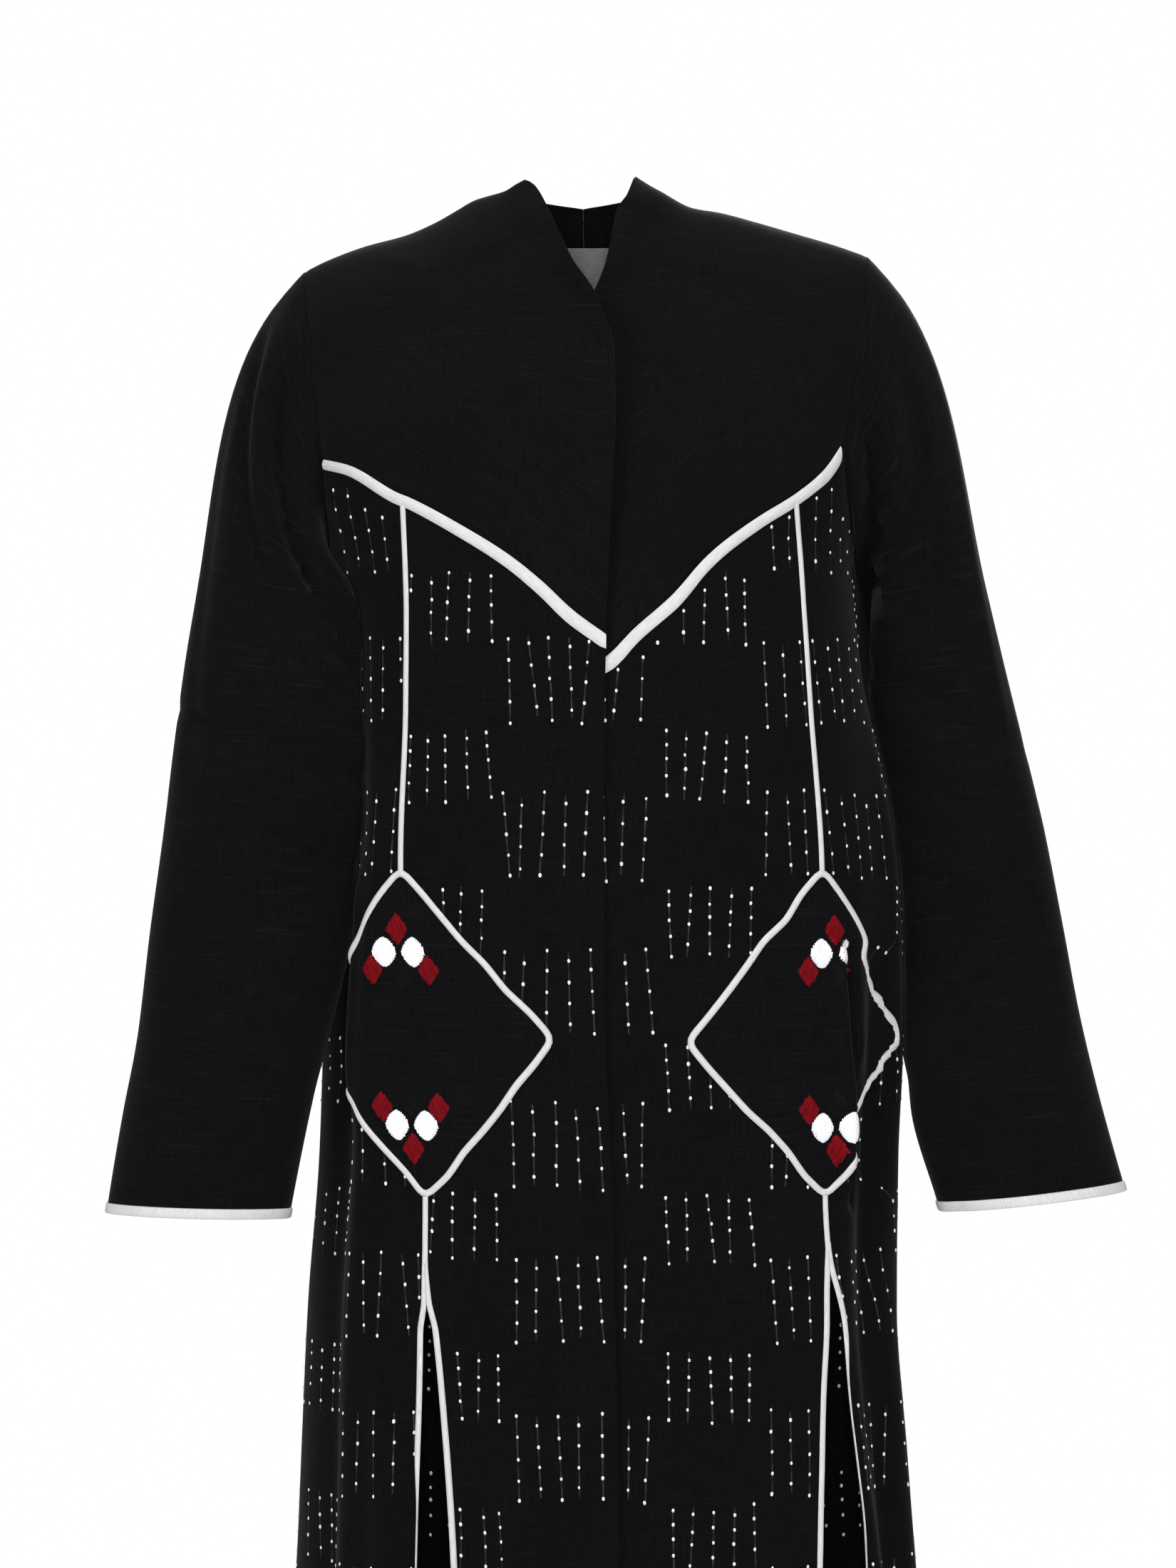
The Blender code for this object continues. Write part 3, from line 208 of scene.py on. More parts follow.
# Small creases of the body by turn and height, of the front yokes by x and z, and of the sleeves by row and turn
Crease = namedtuple("Crease", "top_z top_turn low_z low_turn height half_width ease")
CREASES = table(
    Crease, (-425, -66, -625, -64.5, 6, 3.2, 0.25), (-425, -72.5, -625, -71, -7, 3.4, 0.25),
    (-486, 48.8, -668, 52.6, 6, 2.2, 0.10), (-485, 52.5, -676, 57.2, -11, 2.1, 0.12),
    (-560, 52.5, -668, 53.2, 4, 3.0, 0.3), (-560, 58.5, -676, 58.8, -5, 2.8, 0.3),
    (-300, -24, -420, -27, -1.6, 2.5, 0.4), (-330, 20, -450, 22, 1.5, 2.5, 0.4),
    (-760, -33, -1300, -31, 2.2, 2.4, 0.3), (-820, 33, -1300, 35, -2.4, 2.6, 0.3), (-700, 108, -1250, 112, 3, 3, 0.3),
    (-600, 132, -1200, 130, -3, 3.4, 0.3), (-640, 168, -1300, 170, 3, 3, 0.3), (-560, 204, -1250, 207, -3, 3.2, 0.3),
    (-720, 226, -1300, 224, 3, 3, 0.3), (-620, 262, -1200, 264, 2.6, 3, 0.3))
LineCrease = namedtuple("LineCrease", "x0 z0 x1 z1 height half_width bow")
YOKE_CREASES = {
    -1: table(
        LineCrease, (-129, -37, -92, -44, 1.8, 6, 2), (-134, -57, -106, -90, -1.6, 6, 4),
        (-38, -41, -8, -46, 1.4, 5, -2), (-60, -130, -30, -190, -1.3, 8, 3)),
    1: table(
        LineCrease, (58, -36, 84, -44, 1.6, 6, 2), (22, -70, 44, -88, 1.4, 6, 2), (72, -194, 33, -270, -3.0, 6, -10),
        (120, -70, 140, -150, -1.5, 8, 4)),
}
SLEEVE_CREASES = {
    -1: table(
        SleeveFold, (0.9, 60, 6.5, 126, -4.5, 6), (2, 30, 8, 116, -3, 6), (1.2, 78, 6.2, 142, 3, 6),
        (10.2, 55, 10.9, 130, -2.2, 9), (11.4, 95, 11.9, 140, 1.6, 8), (13.2, 60, 13.8, 100, -1.6, 9),
        (2.5, 18, 9, 34, -1.6, 7), (9.5, 280, 10.4, 230, -2, 10), (11.5, 300, 12.3, 250, 1.8, 10)),
    1: table(
        SleeveFold, (0.9, 66, 6.5, 112, 3.5, 5), (1, 90, 6.5, 136, -5, 6), (1.4, 48, 7, 92, -2.5, 7),
        (9.6, 120, 10.6, 60, -2, 9), (10.8, 135, 11.6, 80, 1.8, 8), (12.8, 40, 13.4, 100, -1.6, 9),
        (2.5, 20, 8, 36, 1.6, 7), (9.5, 280, 10.4, 230, -2, 10), (11.5, 300, 12.3, 250, 1.8, 10)),
}

PIPING_GAP = 0.5
BINDING_WIDTH = 10.4
PIPING_WIDTH = 3.9
# A strip swells and thins by about this share at places this many points apart; a closed one's last step is this long
PIPING_SWELL = 0.10
PIPING_KNOTS = 4
PIPING_CLOSE = 4
# The label: its size, its top, how far off centre it hangs, its depth inside the yoke's surface and its grid
LABEL_WIDTH = 34.0
LABEL_TOP_Z = -20.0
LABEL_DROP = 32.0
LABEL_SHIFT = 2.0
LABEL_DEPTH = 2.75
LABEL_ROWS, LABEL_COLUMNS = 8, 10
# Steps that settle a panel's top edge on the yoke seam, and the longest step taken along the cloth
SEAM_STEPS = 14
SHIFT_STEP = 6
# The solids' own counts of rows and columns, which place the seams' bends
YOKE_ROWS = 9
SIDE_COLUMNS = 8
ARM_COLUMNS = 5
BACK_COLUMNS = 15

# How finely each piece is laid out: steps across it and rows down it
CENTRE_STEPS = 36
SIDE_STEPS = 22
SIDE_ARM_STEPS = 14
BACK_STEPS = 84
BACK_ARM_STEPS = 18
FAN_ROWS = 18
FRONT_ROWS = 176
BACK_ROWS = 168
YOKE_STEPS = 44
FRONT_YOKE_ROWS = 50
BACK_YOKE_ROWS = 40
ARMHOLE_YOKE_STEPS = 22
ARMHOLE_LOW_STEPS = 14
CAP_STEPS = 26
SLEEVE_STEPS = 84
POCKET_RINGS = 34
# Every this many rows and columns is enough to tell which way a panel faces
FACING_ROWS = 12
FACING_COLUMNS = 6

# The yokes stop just short of their seams, by share, and the side seams by half their gap, in degrees
YOKE_LIMITS = (0.0012, 0.9985)
YOKE_ARM_LIMIT = 0.999
SIDE_SEAM_TURN = 0.06

# Thickness of the cloth, and how far sewn edges turn under
CLOTH_THICK = 1.1
POCKET_THICK = 0.7
CUFF_THICK = 2.2
LABEL_THICK = 0.9
PANEL_TURN_UNDER = 0.7
YOKE_TURN_UNDER = 0.5

# Where each piece starts on the bolt of cloth, so that no two show the same stretch of weave
CUT_START = {"centre_front": 0.0, "side_front": 200.0, "back": 400.0, "front_yoke": 600.0, "back_yoke": 900.0}

# The sleeve's first row lies beneath the body's edge: this far back and this far inward
SLEEVE_BENEATH, SLEEVE_INWARD = 1.6, 1.4
FOLD_CLEARANCE = 1.3
PUCKERS = 14
PUCKER_ROWS = 14
PUCKER_HEIGHT = 1.3
# The cuff's band in section: distance past the sleeve's end and how far it stands out
CUFF_OUTLINE = ((0.2, 0.2), (0.5, 0.9), (1.6, 1.2), (CUFF_BAND - 1.0, 1.2), (CUFF_BAND, 0.9), (7.1, 0.2))

# Where the slit's bands begin, where they part, and where the side band starts to roll out of sight
Slit = namedtuple("Slit", "top apex full_until taper")
SLIT = {-1: Slit(-697, -738, -822, 48), 1: Slit(-690, -713, -750, 36)}

SLIT_STEPS = 160
SEAM_STRIP_STEPS = {"princess_piping": 60, "lower_piping": 16}
# How far the princess piping ends above the pocket, the lower one starts below it and runs on past the slit's top
STRIP_OVERLAP = (1.5, 2.0, 6)
# Share of the side band's width that rolls out of sight
SLIT_ROLLED = 0.82

# The yoke binding: its width at the centre and at the side, its ends along the seam, its rise above the seam
YOKE_STRIP_CENTRE, YOKE_STRIP_SIDE = 8.9, 6.6
YOKE_STRIP_START = {-1: 0.0, 1: 0.16}
YOKE_STRIP_END = {-1: 0.992, 1: 0.982}
YOKE_STRIP_RISE = 0.6
YOKE_STRIP_STEPS = 150

# Random draws are the same each run; the side, -1 or 1, is added to all of these
SEED = {"sleeve": 11, "pocket": 20, "pocket_piping": 31, "princess_piping": 41, "lower_piping": 51,
        "slit_binding": 61, "yoke_strip": 71}

CAMERA_X, CAMERA_Z, CAMERA_AWAY, FRAME_HEIGHT = 0.00336, -0.388, 4.0, 1.056
FLOOR_Z = -1395.0
FLOOR_RADIUS = 3400.0
WORLD_LIGHT = 0.22
# Name, place, what it points at, size, watts and colour
LIGHTS = (
    ("left softbox", (-2.3, -2.3, 0.5), (-0.1, 0, -0.5), (1.2, 2.0), 36, (1.0, 0.99, 0.98)),
    ("right softbox", (2.3, -2.3, 0.5), (0.1, 0, -0.5), (1.2, 2.0), 30, (1.0, 0.99, 0.98)),
    ("front softbox", (0.0, -4.3, -0.3), (0.0, 0.0, -0.5), (0.3, 1.0), 80, (1.0, 1.0, 1.0)),
    ("top softbox", (0.0, -0.9, 1.9), (0.0, 0.0, -0.3), (1.6, 1.0), 24, (1.0, 1.0, 1.0)),
    ("back softbox", (0.4, 2.8, 0.7), (0.0, 0.0, -0.6), (1.6, 1.6), 80, (1.0, 1.0, 1.0)),
)


def mix(a, b, share):
    return a + (b - a) * share


def smooth(share):
    share = np.clip(share, 0.0, 1.0)
    return share * share * (3 - 2 * share)


def unit(vectors):
    return vectors / np.maximum(np.linalg.norm(vectors, axis=-1, keepdims=True), 1e-9)


def spot(x, y, z):
    return np.stack(np.broadcast_arrays(x, y, z), -1).astype(float)


CURVES = {}


def curve_of(rows, key, field):
    """Keys, values and slopes of one column of a table, kept once worked out."""
    name = (id(rows), key, field)
    if name not in CURVES:
        keys = np.array([getattr(row, key) for row in rows], float)
        data = np.array([getattr(row, field) for row in rows], float)
        if keys[0] > keys[-1]:
            keys, data = keys[::-1], data[::-1]
        slopes = np.diff(data) / np.diff(keys)
        tangents = np.zeros(len(keys))
        tangents[0], tangents[-1] = slopes[0], slopes[-1]
        before, after = slopes[:-1], slopes[1:]
        same = before * after > 0
        tangents[1:-1][same] = (2 * before * after)[same] / (before + after)[same]
        CURVES[name] = keys, data, tangents
    return CURVES[name]


def read(rows, key, field, value):
    """One column of a table at a key between its rows, on a curve without overshoot."""
    keys, data, tangents = curve_of(rows, key, field)
    value = np.clip(value, keys[0], keys[-1])
    i = np.clip(np.searchsorted(keys, value, side="right") - 1, 0, len(keys) - 2)
    step = keys[i + 1] - keys[i]
    t = (value - keys[i]) / step
    return (data[i] * (1 + 2 * t) * (1 - t) ** 2 + step * tangents[i] * t * (1 - t) ** 2
            + data[i + 1] * t * t * (3 - 2 * t) + step * tangents[i + 1] * t * t * (t - 1))


def power(value, exponent):
    return np.copysign(np.abs(value) ** exponent, value)


def base_point(turn, z):
    """Point of the body's section at a turn from centre front, in degrees, without folds."""
    right, left = read(BODY, "z", "right", z), read(BODY, "z", "left", z)
    angle = np.radians(turn)
    depth = np.where(np.cos(angle) > 0, read(BODY, "z", "front", z), read(BODY, "z", "back", z))
    bend = 2 / SQUARENESS
    x = (right + left) / 2 + (left - right) / 2 * power(np.sin(angle), bend)
    return spot(x, -depth * power(np.cos(angle), bend), z)


def turn_at(x, z):
    """Turn of the front point with this x."""
    right, left = read(BODY, "z", "right", z), read(BODY, "z", "left", z)
    share = np.clip((x - (right + left) / 2) / ((left - right) / 2), -1.0, 1.0)
    return np.degrees(np.arcsin(power(share, SQUARENESS / 2)))


def fold_height(turn, z):
    """How far the folds move the cloth out at a place: the large ones, then the small creases."""
    total = 0.0
    for fold in FOLDS:
        line = mix(fold.top_turn, fold.low_turn, (fold.top_z - z) / (fold.top_z - fold.low_z))
        away = (turn - line + 180) % 360 - 180
        grow = smooth((fold.top_z - z) / FOLD_FADE)
        if fold.low_z > HEM_Z:
            grow = grow * smooth((z - fold.low_z + FOLD_FADE) / FOLD_FADE)
        swell = mix(1.0, HEM_SWELL, smooth((SWELL_TOP_Z - z) / SWELL_LENGTH))
        total = total + fold.height * swell * grow * np.exp(-(away / fold.half_width) ** 2)
    for crease in CREASES:
        share = (crease.top_z - z) / (crease.top_z - crease.low_z)
        line = mix(crease.top_turn, crease.low_turn, share)
        away = (turn - line + 180) % 360 - 180
        ends = smooth(share / crease.ease) * smooth((1 - share) / crease.ease)
        total = total + crease.height * ends * np.exp(-(away / crease.half_width) ** 2)
    return total


def lap_drop(x, z):
    """How far the left front lies inward beneath the right front's lap."""
    lap = read(FRONT_EDGE[-1], "z", "x", z)
    return -LAP_STEP * smooth((lap + LAP_FADE - x) / (LAP_FADE - LAP_FLAT)) * smooth((LAP_TOP_Z - z) / LAP_RISE)


def body_point(turn, z, under=False):
    """Point of the worn cloth; under is true on the left front, which the right front laps over."""
    turn, z = np.broadcast_arrays(np.asarray(turn, float), np.asarray(z, float))
    along = base_point(turn + 0.5, z) - base_point(turn - 0.5, z)
    out = unit(spot(along[..., 1], -along[..., 0], 0 * z))
    point = base_point(turn, z)
    drop = lap_drop(point[..., 0], z) if under else 0.0
    return point + out * (fold_height(turn, z) + drop)[..., None]


def body_normal(turn, z, under=False):
    across = body_point(turn + 0.6, z, under) - body_point(turn - 0.6, z, under)
    up = body_point(turn, z + 3, under) - body_point(turn, z - 3, under)
    return unit(np.cross(across, up))


def shift_turn(turn, z, distance):
    """Turn of the place that lies a distance further along the cloth, level."""
    steps = max(1, math.ceil(float(np.max(np.abs(distance))) / SHIFT_STEP))
    for _ in range(steps):
        per_degree = np.linalg.norm(body_point(turn + 0.5, z) - body_point(turn - 0.5, z), axis=-1)
        turn = turn + distance / steps / per_degree
    return turn


def princess_turn(side, z, edge):
    return turn_at(read(PRINCESS[side], "z", edge, z), z)


def front_edge_turn(side, z):
    return turn_at(read(FRONT_EDGE[side], "z", "x", z), z)


def seam_z(side, x):
    return read(YOKE_SEAM[side], "x", "z", x)


def arm_start(side):
    row = YOKE_SEAM[side][-1]
    return turn_at(row.x, row.z), row.z


def arm_curve(start_z, side, share):
    low = UNDERARM_Z[side]
    return low + (start_z - low) * (1 - np.sqrt(np.maximum(0, 1 - (1 - share) ** 2)))


def rows_of(top, level):
    """Heights of a panel's points: a fan from its top edge, then level rows down to the hem."""
    share = np.linspace(0, 1, FAN_ROWS, endpoint=False)[:, None]
    lower = np.linspace(LEVEL_Z, HEM_Z, level + 1)[:, None]
    return np.vstack([mix(top[None, :], LEVEL_Z, share), lower + 0 * top[None, :]])


def seam_gap(z):
    return np.where(z > SLIT_TOP_Z, SEAM_GAP / 2, 0.0)


def centre_turn(side, share, z):
    start = front_edge_turn(side, z)
    end = shift_turn(princess_turn(side, z, "centre_x"), z, -side * seam_gap(z))
    return mix(start, end, share)


def centre_grid(side):
    """Turns and heights of a centre front: from the front edge to the princess seam."""
    share = np.linspace(0, 1, CENTRE_STEPS + 1)
    top = seam_z(side, mix(YOKE_SEAM[side][0].x, PRINCESS[side][0].centre_x, share))
    for _ in range(SEAM_STEPS):
        top = seam_z(side, base_point(centre_turn(side, share, top), top)[:, 0])
    z = rows_of(top - SEAM_GAP / 2, FRONT_ROWS)
    return centre_turn(side, share[None, :], z), z


def side_grid(side):
    """Turns and heights of a side front: from the princess seam to the armhole and the side seam."""
    arm_turn, arm_z = arm_start(side)
    first, second = np.linspace(0, 1, SIDE_STEPS, endpoint=False), np.linspace(0, 1, SIDE_ARM_STEPS + 1)
    seam = seam_z(side, mix(PRINCESS[side][0].side_x, YOKE_SEAM[side][-1].x, first))
    for _ in range(SEAM_STEPS):
        turns = mix(princess_turn(side, seam, "side_x"), arm_turn, first)
        seam = seam_z(side, base_point(turns, seam)[:, 0])
    top = np.concatenate([seam, arm_curve(arm_z, side, second)]) - SEAM_GAP / 2
    z = rows_of(top, FRONT_ROWS)
    start = shift_turn(princess_turn(side, z, "side_x"), z, side * seam_gap(z))
    end = side * (SIDE_TURN - SIDE_SEAM_TURN)
    bend = SIDE_COLUMNS / (SIDE_COLUMNS + ARM_COLUMNS)
    middle = mix(arm_turn, mix(start, end, bend), smooth((UNDERARM_Z[side] - z) / (UNDERARM_Z[side] - LEVEL_Z)))
    share = np.concatenate([first, second])[None, :]
    inner = (np.arange(share.shape[1]) < SIDE_STEPS)[None, :]
    return np.where(inner, mix(start, middle, share), mix(middle, end, share)), z


def back_grid():
    """Turns and heights of the back: from the left side seam round to the right one."""
    first, middle = (np.linspace(0, 1, steps, endpoint=False) for steps in (BACK_ARM_STEPS, BACK_STEPS))
    last = np.linspace(0, 1, BACK_ARM_STEPS + 1)
    top = np.concatenate([arm_curve(BACK_SEAM_Z, 1, 1 - first), BACK_SEAM_Z + 0 * middle,
                          arm_curve(BACK_SEAM_Z, -1, last)]) - SEAM_GAP / 2
    z = rows_of(top, BACK_ROWS)
    ends = (SIDE_TURN + SIDE_SEAM_TURN, 360 - SIDE_TURN - SIDE_SEAM_TURN)
    drop = smooth((UNDERARM_Z[-1] - z) / (UNDERARM_Z[-1] - LEVEL_Z))
    part = ARM_COLUMNS / (BACK_COLUMNS + 2 * ARM_COLUMNS)
    left = mix(BACK_ARM_TURN, mix(*ends, part), drop)
    right = mix(360 - BACK_ARM_TURN, mix(*ends, 1 - part), drop)
    share = np.concatenate([first, middle, last])[None, :]
    index = np.arange(share.shape[1])[None, :]
    turns = np.where(index < BACK_ARM_STEPS, mix(ends[0], left, share), mix(left, right, share))
    return np.where(index >= BACK_ARM_STEPS + BACK_STEPS, mix(right, ends[1], share), turns), z


def arch(low_z, low_y, high_z, high_y, roundness, share):
    """Height, depth and rise on a rounded arch from an upright start to the ridge."""
    angle = np.radians(90 * share)
    rise = np.sin(angle) ** (2 / roundness)
    fall = np.maximum(0, np.cos(angle)) ** (2 / roundness)
    return mix(low_z, high_z, rise), high_y + (low_y - high_y) * fall, rise


def yoke_fold(side, x, z):
    """Soft slanted folds of the front yoke, as a depth."""
    total = 0.0
    for fold in YOKE_FOLDS[side]:
        along = (z - fold.z + YOKE_FOLD_SLANT * side * (x - fold.x)) / fold.reach_z
        total = total - fold.height * np.exp(-((x - fold.x) / fold.reach_x) ** 2 - along ** 2)
    for crease in YOKE_CREASES[side]:
        total = total - crease_height(crease, x, z)
    return total


def crease_height(crease, x, z):
    """Height of a short crease drawn from one point to another on the front, by x and z."""
    way = np.array([crease.x1 - crease.x0, crease.z1 - crease.z0])
    length = np.hypot(*way)
    along = ((x - crease.x0) * way[0] + (z - crease.z0) * way[1]) / length
    across = ((x - crease.x0) * way[1] - (z - crease.z0) * way[0]) / length
    across = across - crease.bow * 4 * (along / length) * (1 - along / length)
    fade = CREASE_ENDS * length
    ends = smooth(along / fade + 0.5) * smooth((length - along) / fade + 0.5)
    return crease.height * ends * np.exp(-(across / crease.half_width) ** 2)


def front_yoke_point(side, u, v):
    """Point of a front yoke: u from the front edge to the armhole, v from its seam to the shoulder."""
    def column(share):
        low_x = mix(YOKE_SEAM[side][0].x, YOKE_SEAM[side][-1].x, share)
        low_z = seam_z(side, low_x)
        low = body_point(turn_at(low_x, low_z), low_z, side > 0)
        high_x = mix(SHOULDER[side][0].x, SHOULDER[side][-1].x, share)
        return (low[..., 2], low[..., 1], read(SHOULDER[side], "x", "z", high_x),
                read(SHOULDER[side], "x", "y", high_x), mix(FRONT_ROUND, SHOULDER_ROUND, smooth(share)))

    u, v = np.broadcast_arrays(np.asarray(u, float), np.asarray(v, float))
    z, y, _ = arch(*column(u), v)
    edge_z, _, _ = arch(*column(0 * u), v)
    _, _, arm_rise = arch(*column(0 * u + 1), v)
    edge_x = read(FRONT_EDGE[side], "z", "x", edge_z)
    arm_x = mix(YOKE_SEAM[side][-1].x, SHOULDER[side][-1].x, arm_rise)
    x = mix(edge_x, arm_x, u)
    if side > 0:
        y = y - lap_drop(x, z) * smooth(v * YOKE_ROWS / 2)
    return spot(x, y + yoke_fold(side, x, z), z)


def back_yoke_point(side, u, v):
    """Point of a back yoke: u from centre back to the armhole, v from its seam to the collar and shoulder."""
    u, v = np.broadcast_arrays(np.asarray(u, float), np.asarray(v, float))
    turn = mix(180.0, BACK_ARM_TURN if side > 0 else 360 - BACK_ARM_TURN, u)
    low = body_point(turn, BACK_SEAM_Z + 0 * u)
    neck = SHOULDER[side][2]
    angle = np.radians(90 * np.clip(u / NECK_SHARE, 0, 1))
    x = mix(neck.x, SHOULDER[side][-1].x, np.clip((u - NECK_SHARE) / (1 - NECK_SHARE), 0, 1))
    collar = u <= NECK_SHARE
    high_x = np.where(collar, neck.x * np.sin(angle), x)
    high_y = np.where(collar, mix(neck.y, COLLAR_BACK_Y, np.cos(angle)), read(SHOULDER[side], "x", "y", x))
    high_z = np.where(collar, mix(COLLAR_BACK_Z, neck.z, np.sin(angle)), read(SHOULDER[side], "x", "z", x))
    roundness = mix(CENTRE_BACK_ROUND, SHOULDER_ROUND, smooth(u / (NECK_SHARE + 0.2)))
    z, y, rise = arch(low[..., 2], low[..., 1], high_z, high_y, roundness, v)
    return spot(mix(low[..., 0], high_x, rise), y, z)


def yoke_normal(point, side, facing, u, v):
    across = point(side, np.minimum(1, u + 0.01), v) - point(side, np.maximum(0, u - 0.01), v)
    up = point(side, u, np.minimum(1, v + 0.01)) - point(side, u, np.maximum(0, v - 0.01))
    return unit(np.cross(across, up)) * facing


def yoke_grid(point, side, facing, rows):
    """Points and outward normals of a yoke."""
    v = np.clip(np.linspace(0, 1, rows + 1), *YOKE_LIMITS)[:, None]
    u = np.minimum(np.linspace(0, 1, YOKE_STEPS + 1), YOKE_ARM_LIMIT)[None, :]
    return point(side, u, v), yoke_normal(point, side, facing, u + 0 * v, v + 0 * u)


def armhole(side):
    """Loop of armhole points with the cloth's outward normals: shoulder, front, underarm, back."""
    down, up = (np.clip(np.linspace(start, 1 - start, ARMHOLE_YOKE_STEPS, endpoint=False), *YOKE_LIMITS)
                for start in (1, 0))
    share = np.linspace(0, 1, ARMHOLE_LOW_STEPS, endpoint=False)
    arm_turn, arm_z = arm_start(side)
    one = 0 * down + 1
    parts = [(front_yoke_point(side, one, down), yoke_normal(front_yoke_point, side, side, one, down))]
    for turn, z in ((mix(arm_turn, side * SIDE_TURN, share), arm_curve(arm_z, side, share)),
                    (mix(side * SIDE_TURN, side * BACK_ARM_TURN, share), arm_curve(BACK_SEAM_Z, side, 1 - share))):
        parts.append((body_point(turn, z), body_normal(turn, z)))
    parts.append((back_yoke_point(side, one, up), yoke_normal(back_yoke_point, side, -side, one, up)))
    points, outs = (np.concatenate([part[k] for part in parts]) for k in (0, 1))
    return points, outs


def loop_turns(points):
    """Turn round the sleeve of each armhole point: 0 at the shoulder, 90 in front, 180 at the underarm."""
    lengths = np.linalg.norm(np.roll(points, -1, 0) - points, axis=-1)
    half = ARMHOLE_YOKE_STEPS + ARMHOLE_LOW_STEPS
    turns = []
    for part, base in ((lengths[:half], 0.0), (lengths[half:], 180.0)):
        turns.append(base + 180 * (np.cumsum(part) - part) / part.sum())
    return np.concatenate(turns)


Keyed = namedtuple("Keyed", ("key",) + Ring._fields)
RINGS = {side: tuple(Keyed(k / (len(rings) - 1), *ring) for k, ring in enumerate(rings))
         for side, rings in SLEEVE.items()}


def ring_point(side, row, turn):
    """Point of a sleeve ring; row 0 is the first full ring and 1 is the cuff seam."""
    ring = Ring(*(float(read(RINGS[side], "key", field, row)) for field in Ring._fields))
    outer = np.array([ring.outer_x, ring.middle_y, ring.outer_z])
    inner = np.array([ring.inner_x, ring.middle_y, ring.inner_z])
    angle = np.radians(turn)[:, None]
    front = np.array([0, -ring.depth / 2, 0])
    tucked = (1 - np.cos(angle)) / 2 * (1 - float(smooth((row - TUCK_FULL_TO) / TUCK_FADE)))
    tuck = np.array([-side * SLEEVE_TUCK[side][0], SLEEVE_TUCK[side][1], 0])
    return (outer + inner) / 2 + (outer - inner) / 2 * np.cos(angle) + front * np.sin(angle) + tuck * tucked


def clear_of_body(point, clearance):
    """The points moved out of the worn cloth, folds and all, and a clearance round it."""
    x, y, z = point[..., 0], point[..., 1], point[..., 2]
    right, left = read(BODY, "z", "right", z), read(BODY, "z", "left", z)
    depth = np.where(y < 0, read(BODY, "z", "front", z), read(BODY, "z", "back", z))
    centre, half = (right + left) / 2, (left - right) / 2
    across, ahead = power((x - centre) / half, SQUARENESS / 2), power(-y / depth, SQUARENESS / 2)
    cloth = body_point(np.degrees(np.arctan2(across, ahead)), z)
    reach = np.hypot(cloth[..., 0] - centre, cloth[..., 1]) + clearance
    scale = reach / np.maximum(np.hypot(x - centre, y), 1.0)
    scale = np.where((z > BODY[1].z + 20) | (scale < 1), 1.0, scale)
    return spot(centre + (x - centre) * scale, y * scale, z)


def sleeve_fold(side, row, turn):
    total = 0.0
    for fold in SLEEVE_FOLDS[side] + SLEEVE_CREASES[side]:
        share = (row - fold.top_row) / (fold.low_row - fold.top_row)
        away = (turn - mix(fold.top_turn, fold.low_turn, share) + 180) % 360 - 180
        ends = smooth((share + FOLD_REACH) / FOLD_REACH) * smooth((1 + FOLD_REACH - share) / FOLD_REACH)
        total = total + fold.height * ends * np.exp(-(away / fold.half_width) ** 2)
    return total


def sleeve_grid(side):
    """Rows of points down a sleeve, from the armhole to the cuff seam, and their normals."""
    start, out = armhole(side)
    turns = loop_turns(start)
    under = (1 - np.cos(np.radians(turns))) / 2
    away = unit(np.cross(np.roll(start, -1, 0) - np.roll(start, 1, 0), out)) * -side
    end = ring_point(side, 0.0, turns)
    reach = np.linalg.norm(end - start, axis=-1)[:, None]
    leave = spot(side * mix(*LEAVE_OUT, under), -LEAVE_AHEAD * np.sin(np.radians(turns)), -mix(*LEAVE_DOWN, under))
    leave = unit(leave) * reach
    arrive = unit(ring_point(side, 0.08, turns) - end) * reach
    rows, keys = [], []
    for t in np.linspace(0, 1, CAP_STEPS, endpoint=False):
        point = (start * (1 + 2 * t) * (1 - t) ** 2 + leave * t * (1 - t) ** 2
                 + end * t * t * (3 - 2 * t) + arrive * t * t * (t - 1))
        first = start + away * SEAM_GAP * 1.3 + out * (SEAM_GAP * 2 * smooth((under - 0.5) / 0.3))[:, None]
        point = clear_of_body(point, SLEEVE_CLEARANCE * float(smooth(t * 2)))
        rows.append(mix(first, point, float(smooth(t * CAP_ROWS))))
        keys.append(t * CAP_ROWS)
    rows.insert(0, start - away * SLEEVE_BENEATH - out * SLEEVE_INWARD)
    keys.insert(0, 0.0)
    for share in np.linspace(0, 1, SLEEVE_STEPS + 1):
        rows.append(clear_of_body(ring_point(side, share, turns), SLEEVE_CLEARANCE))
        keys.append(CAP_ROWS + share * RING_ROWS)
    rows, keys = np.array(rows), np.array(keys)[:, None]
    flat = tube_normals(rows, -side)
    height = sleeve_fold(side, keys, turns[None, :]) * smooth(keys / 2)
    folded = rows + flat * height[..., None]
    folded = np.where((keys >= 2)[..., None], clear_of_body(folded, FOLD_CLEARANCE), folded)
    return folded, tube_normals(folded, -side)


def tube_normals(rows, facing):
    """Normals of a closed tube of rows, from neighbouring points."""
    down = np.gradient(rows, axis=0)
    round_way = np.roll(rows, -1, 1) - np.roll(rows, 1, 1)
    return unit(np.cross(down, round_way)) * facing


def sheet_normals(points, out):
    """Normals of an open grid, turned to the side that a hint points to."""
    normals = unit(np.cross(np.gradient(points, axis=0), np.gradient(points, axis=1)))
    return normals * np.sign(np.mean(np.sum(normals * out, -1)))


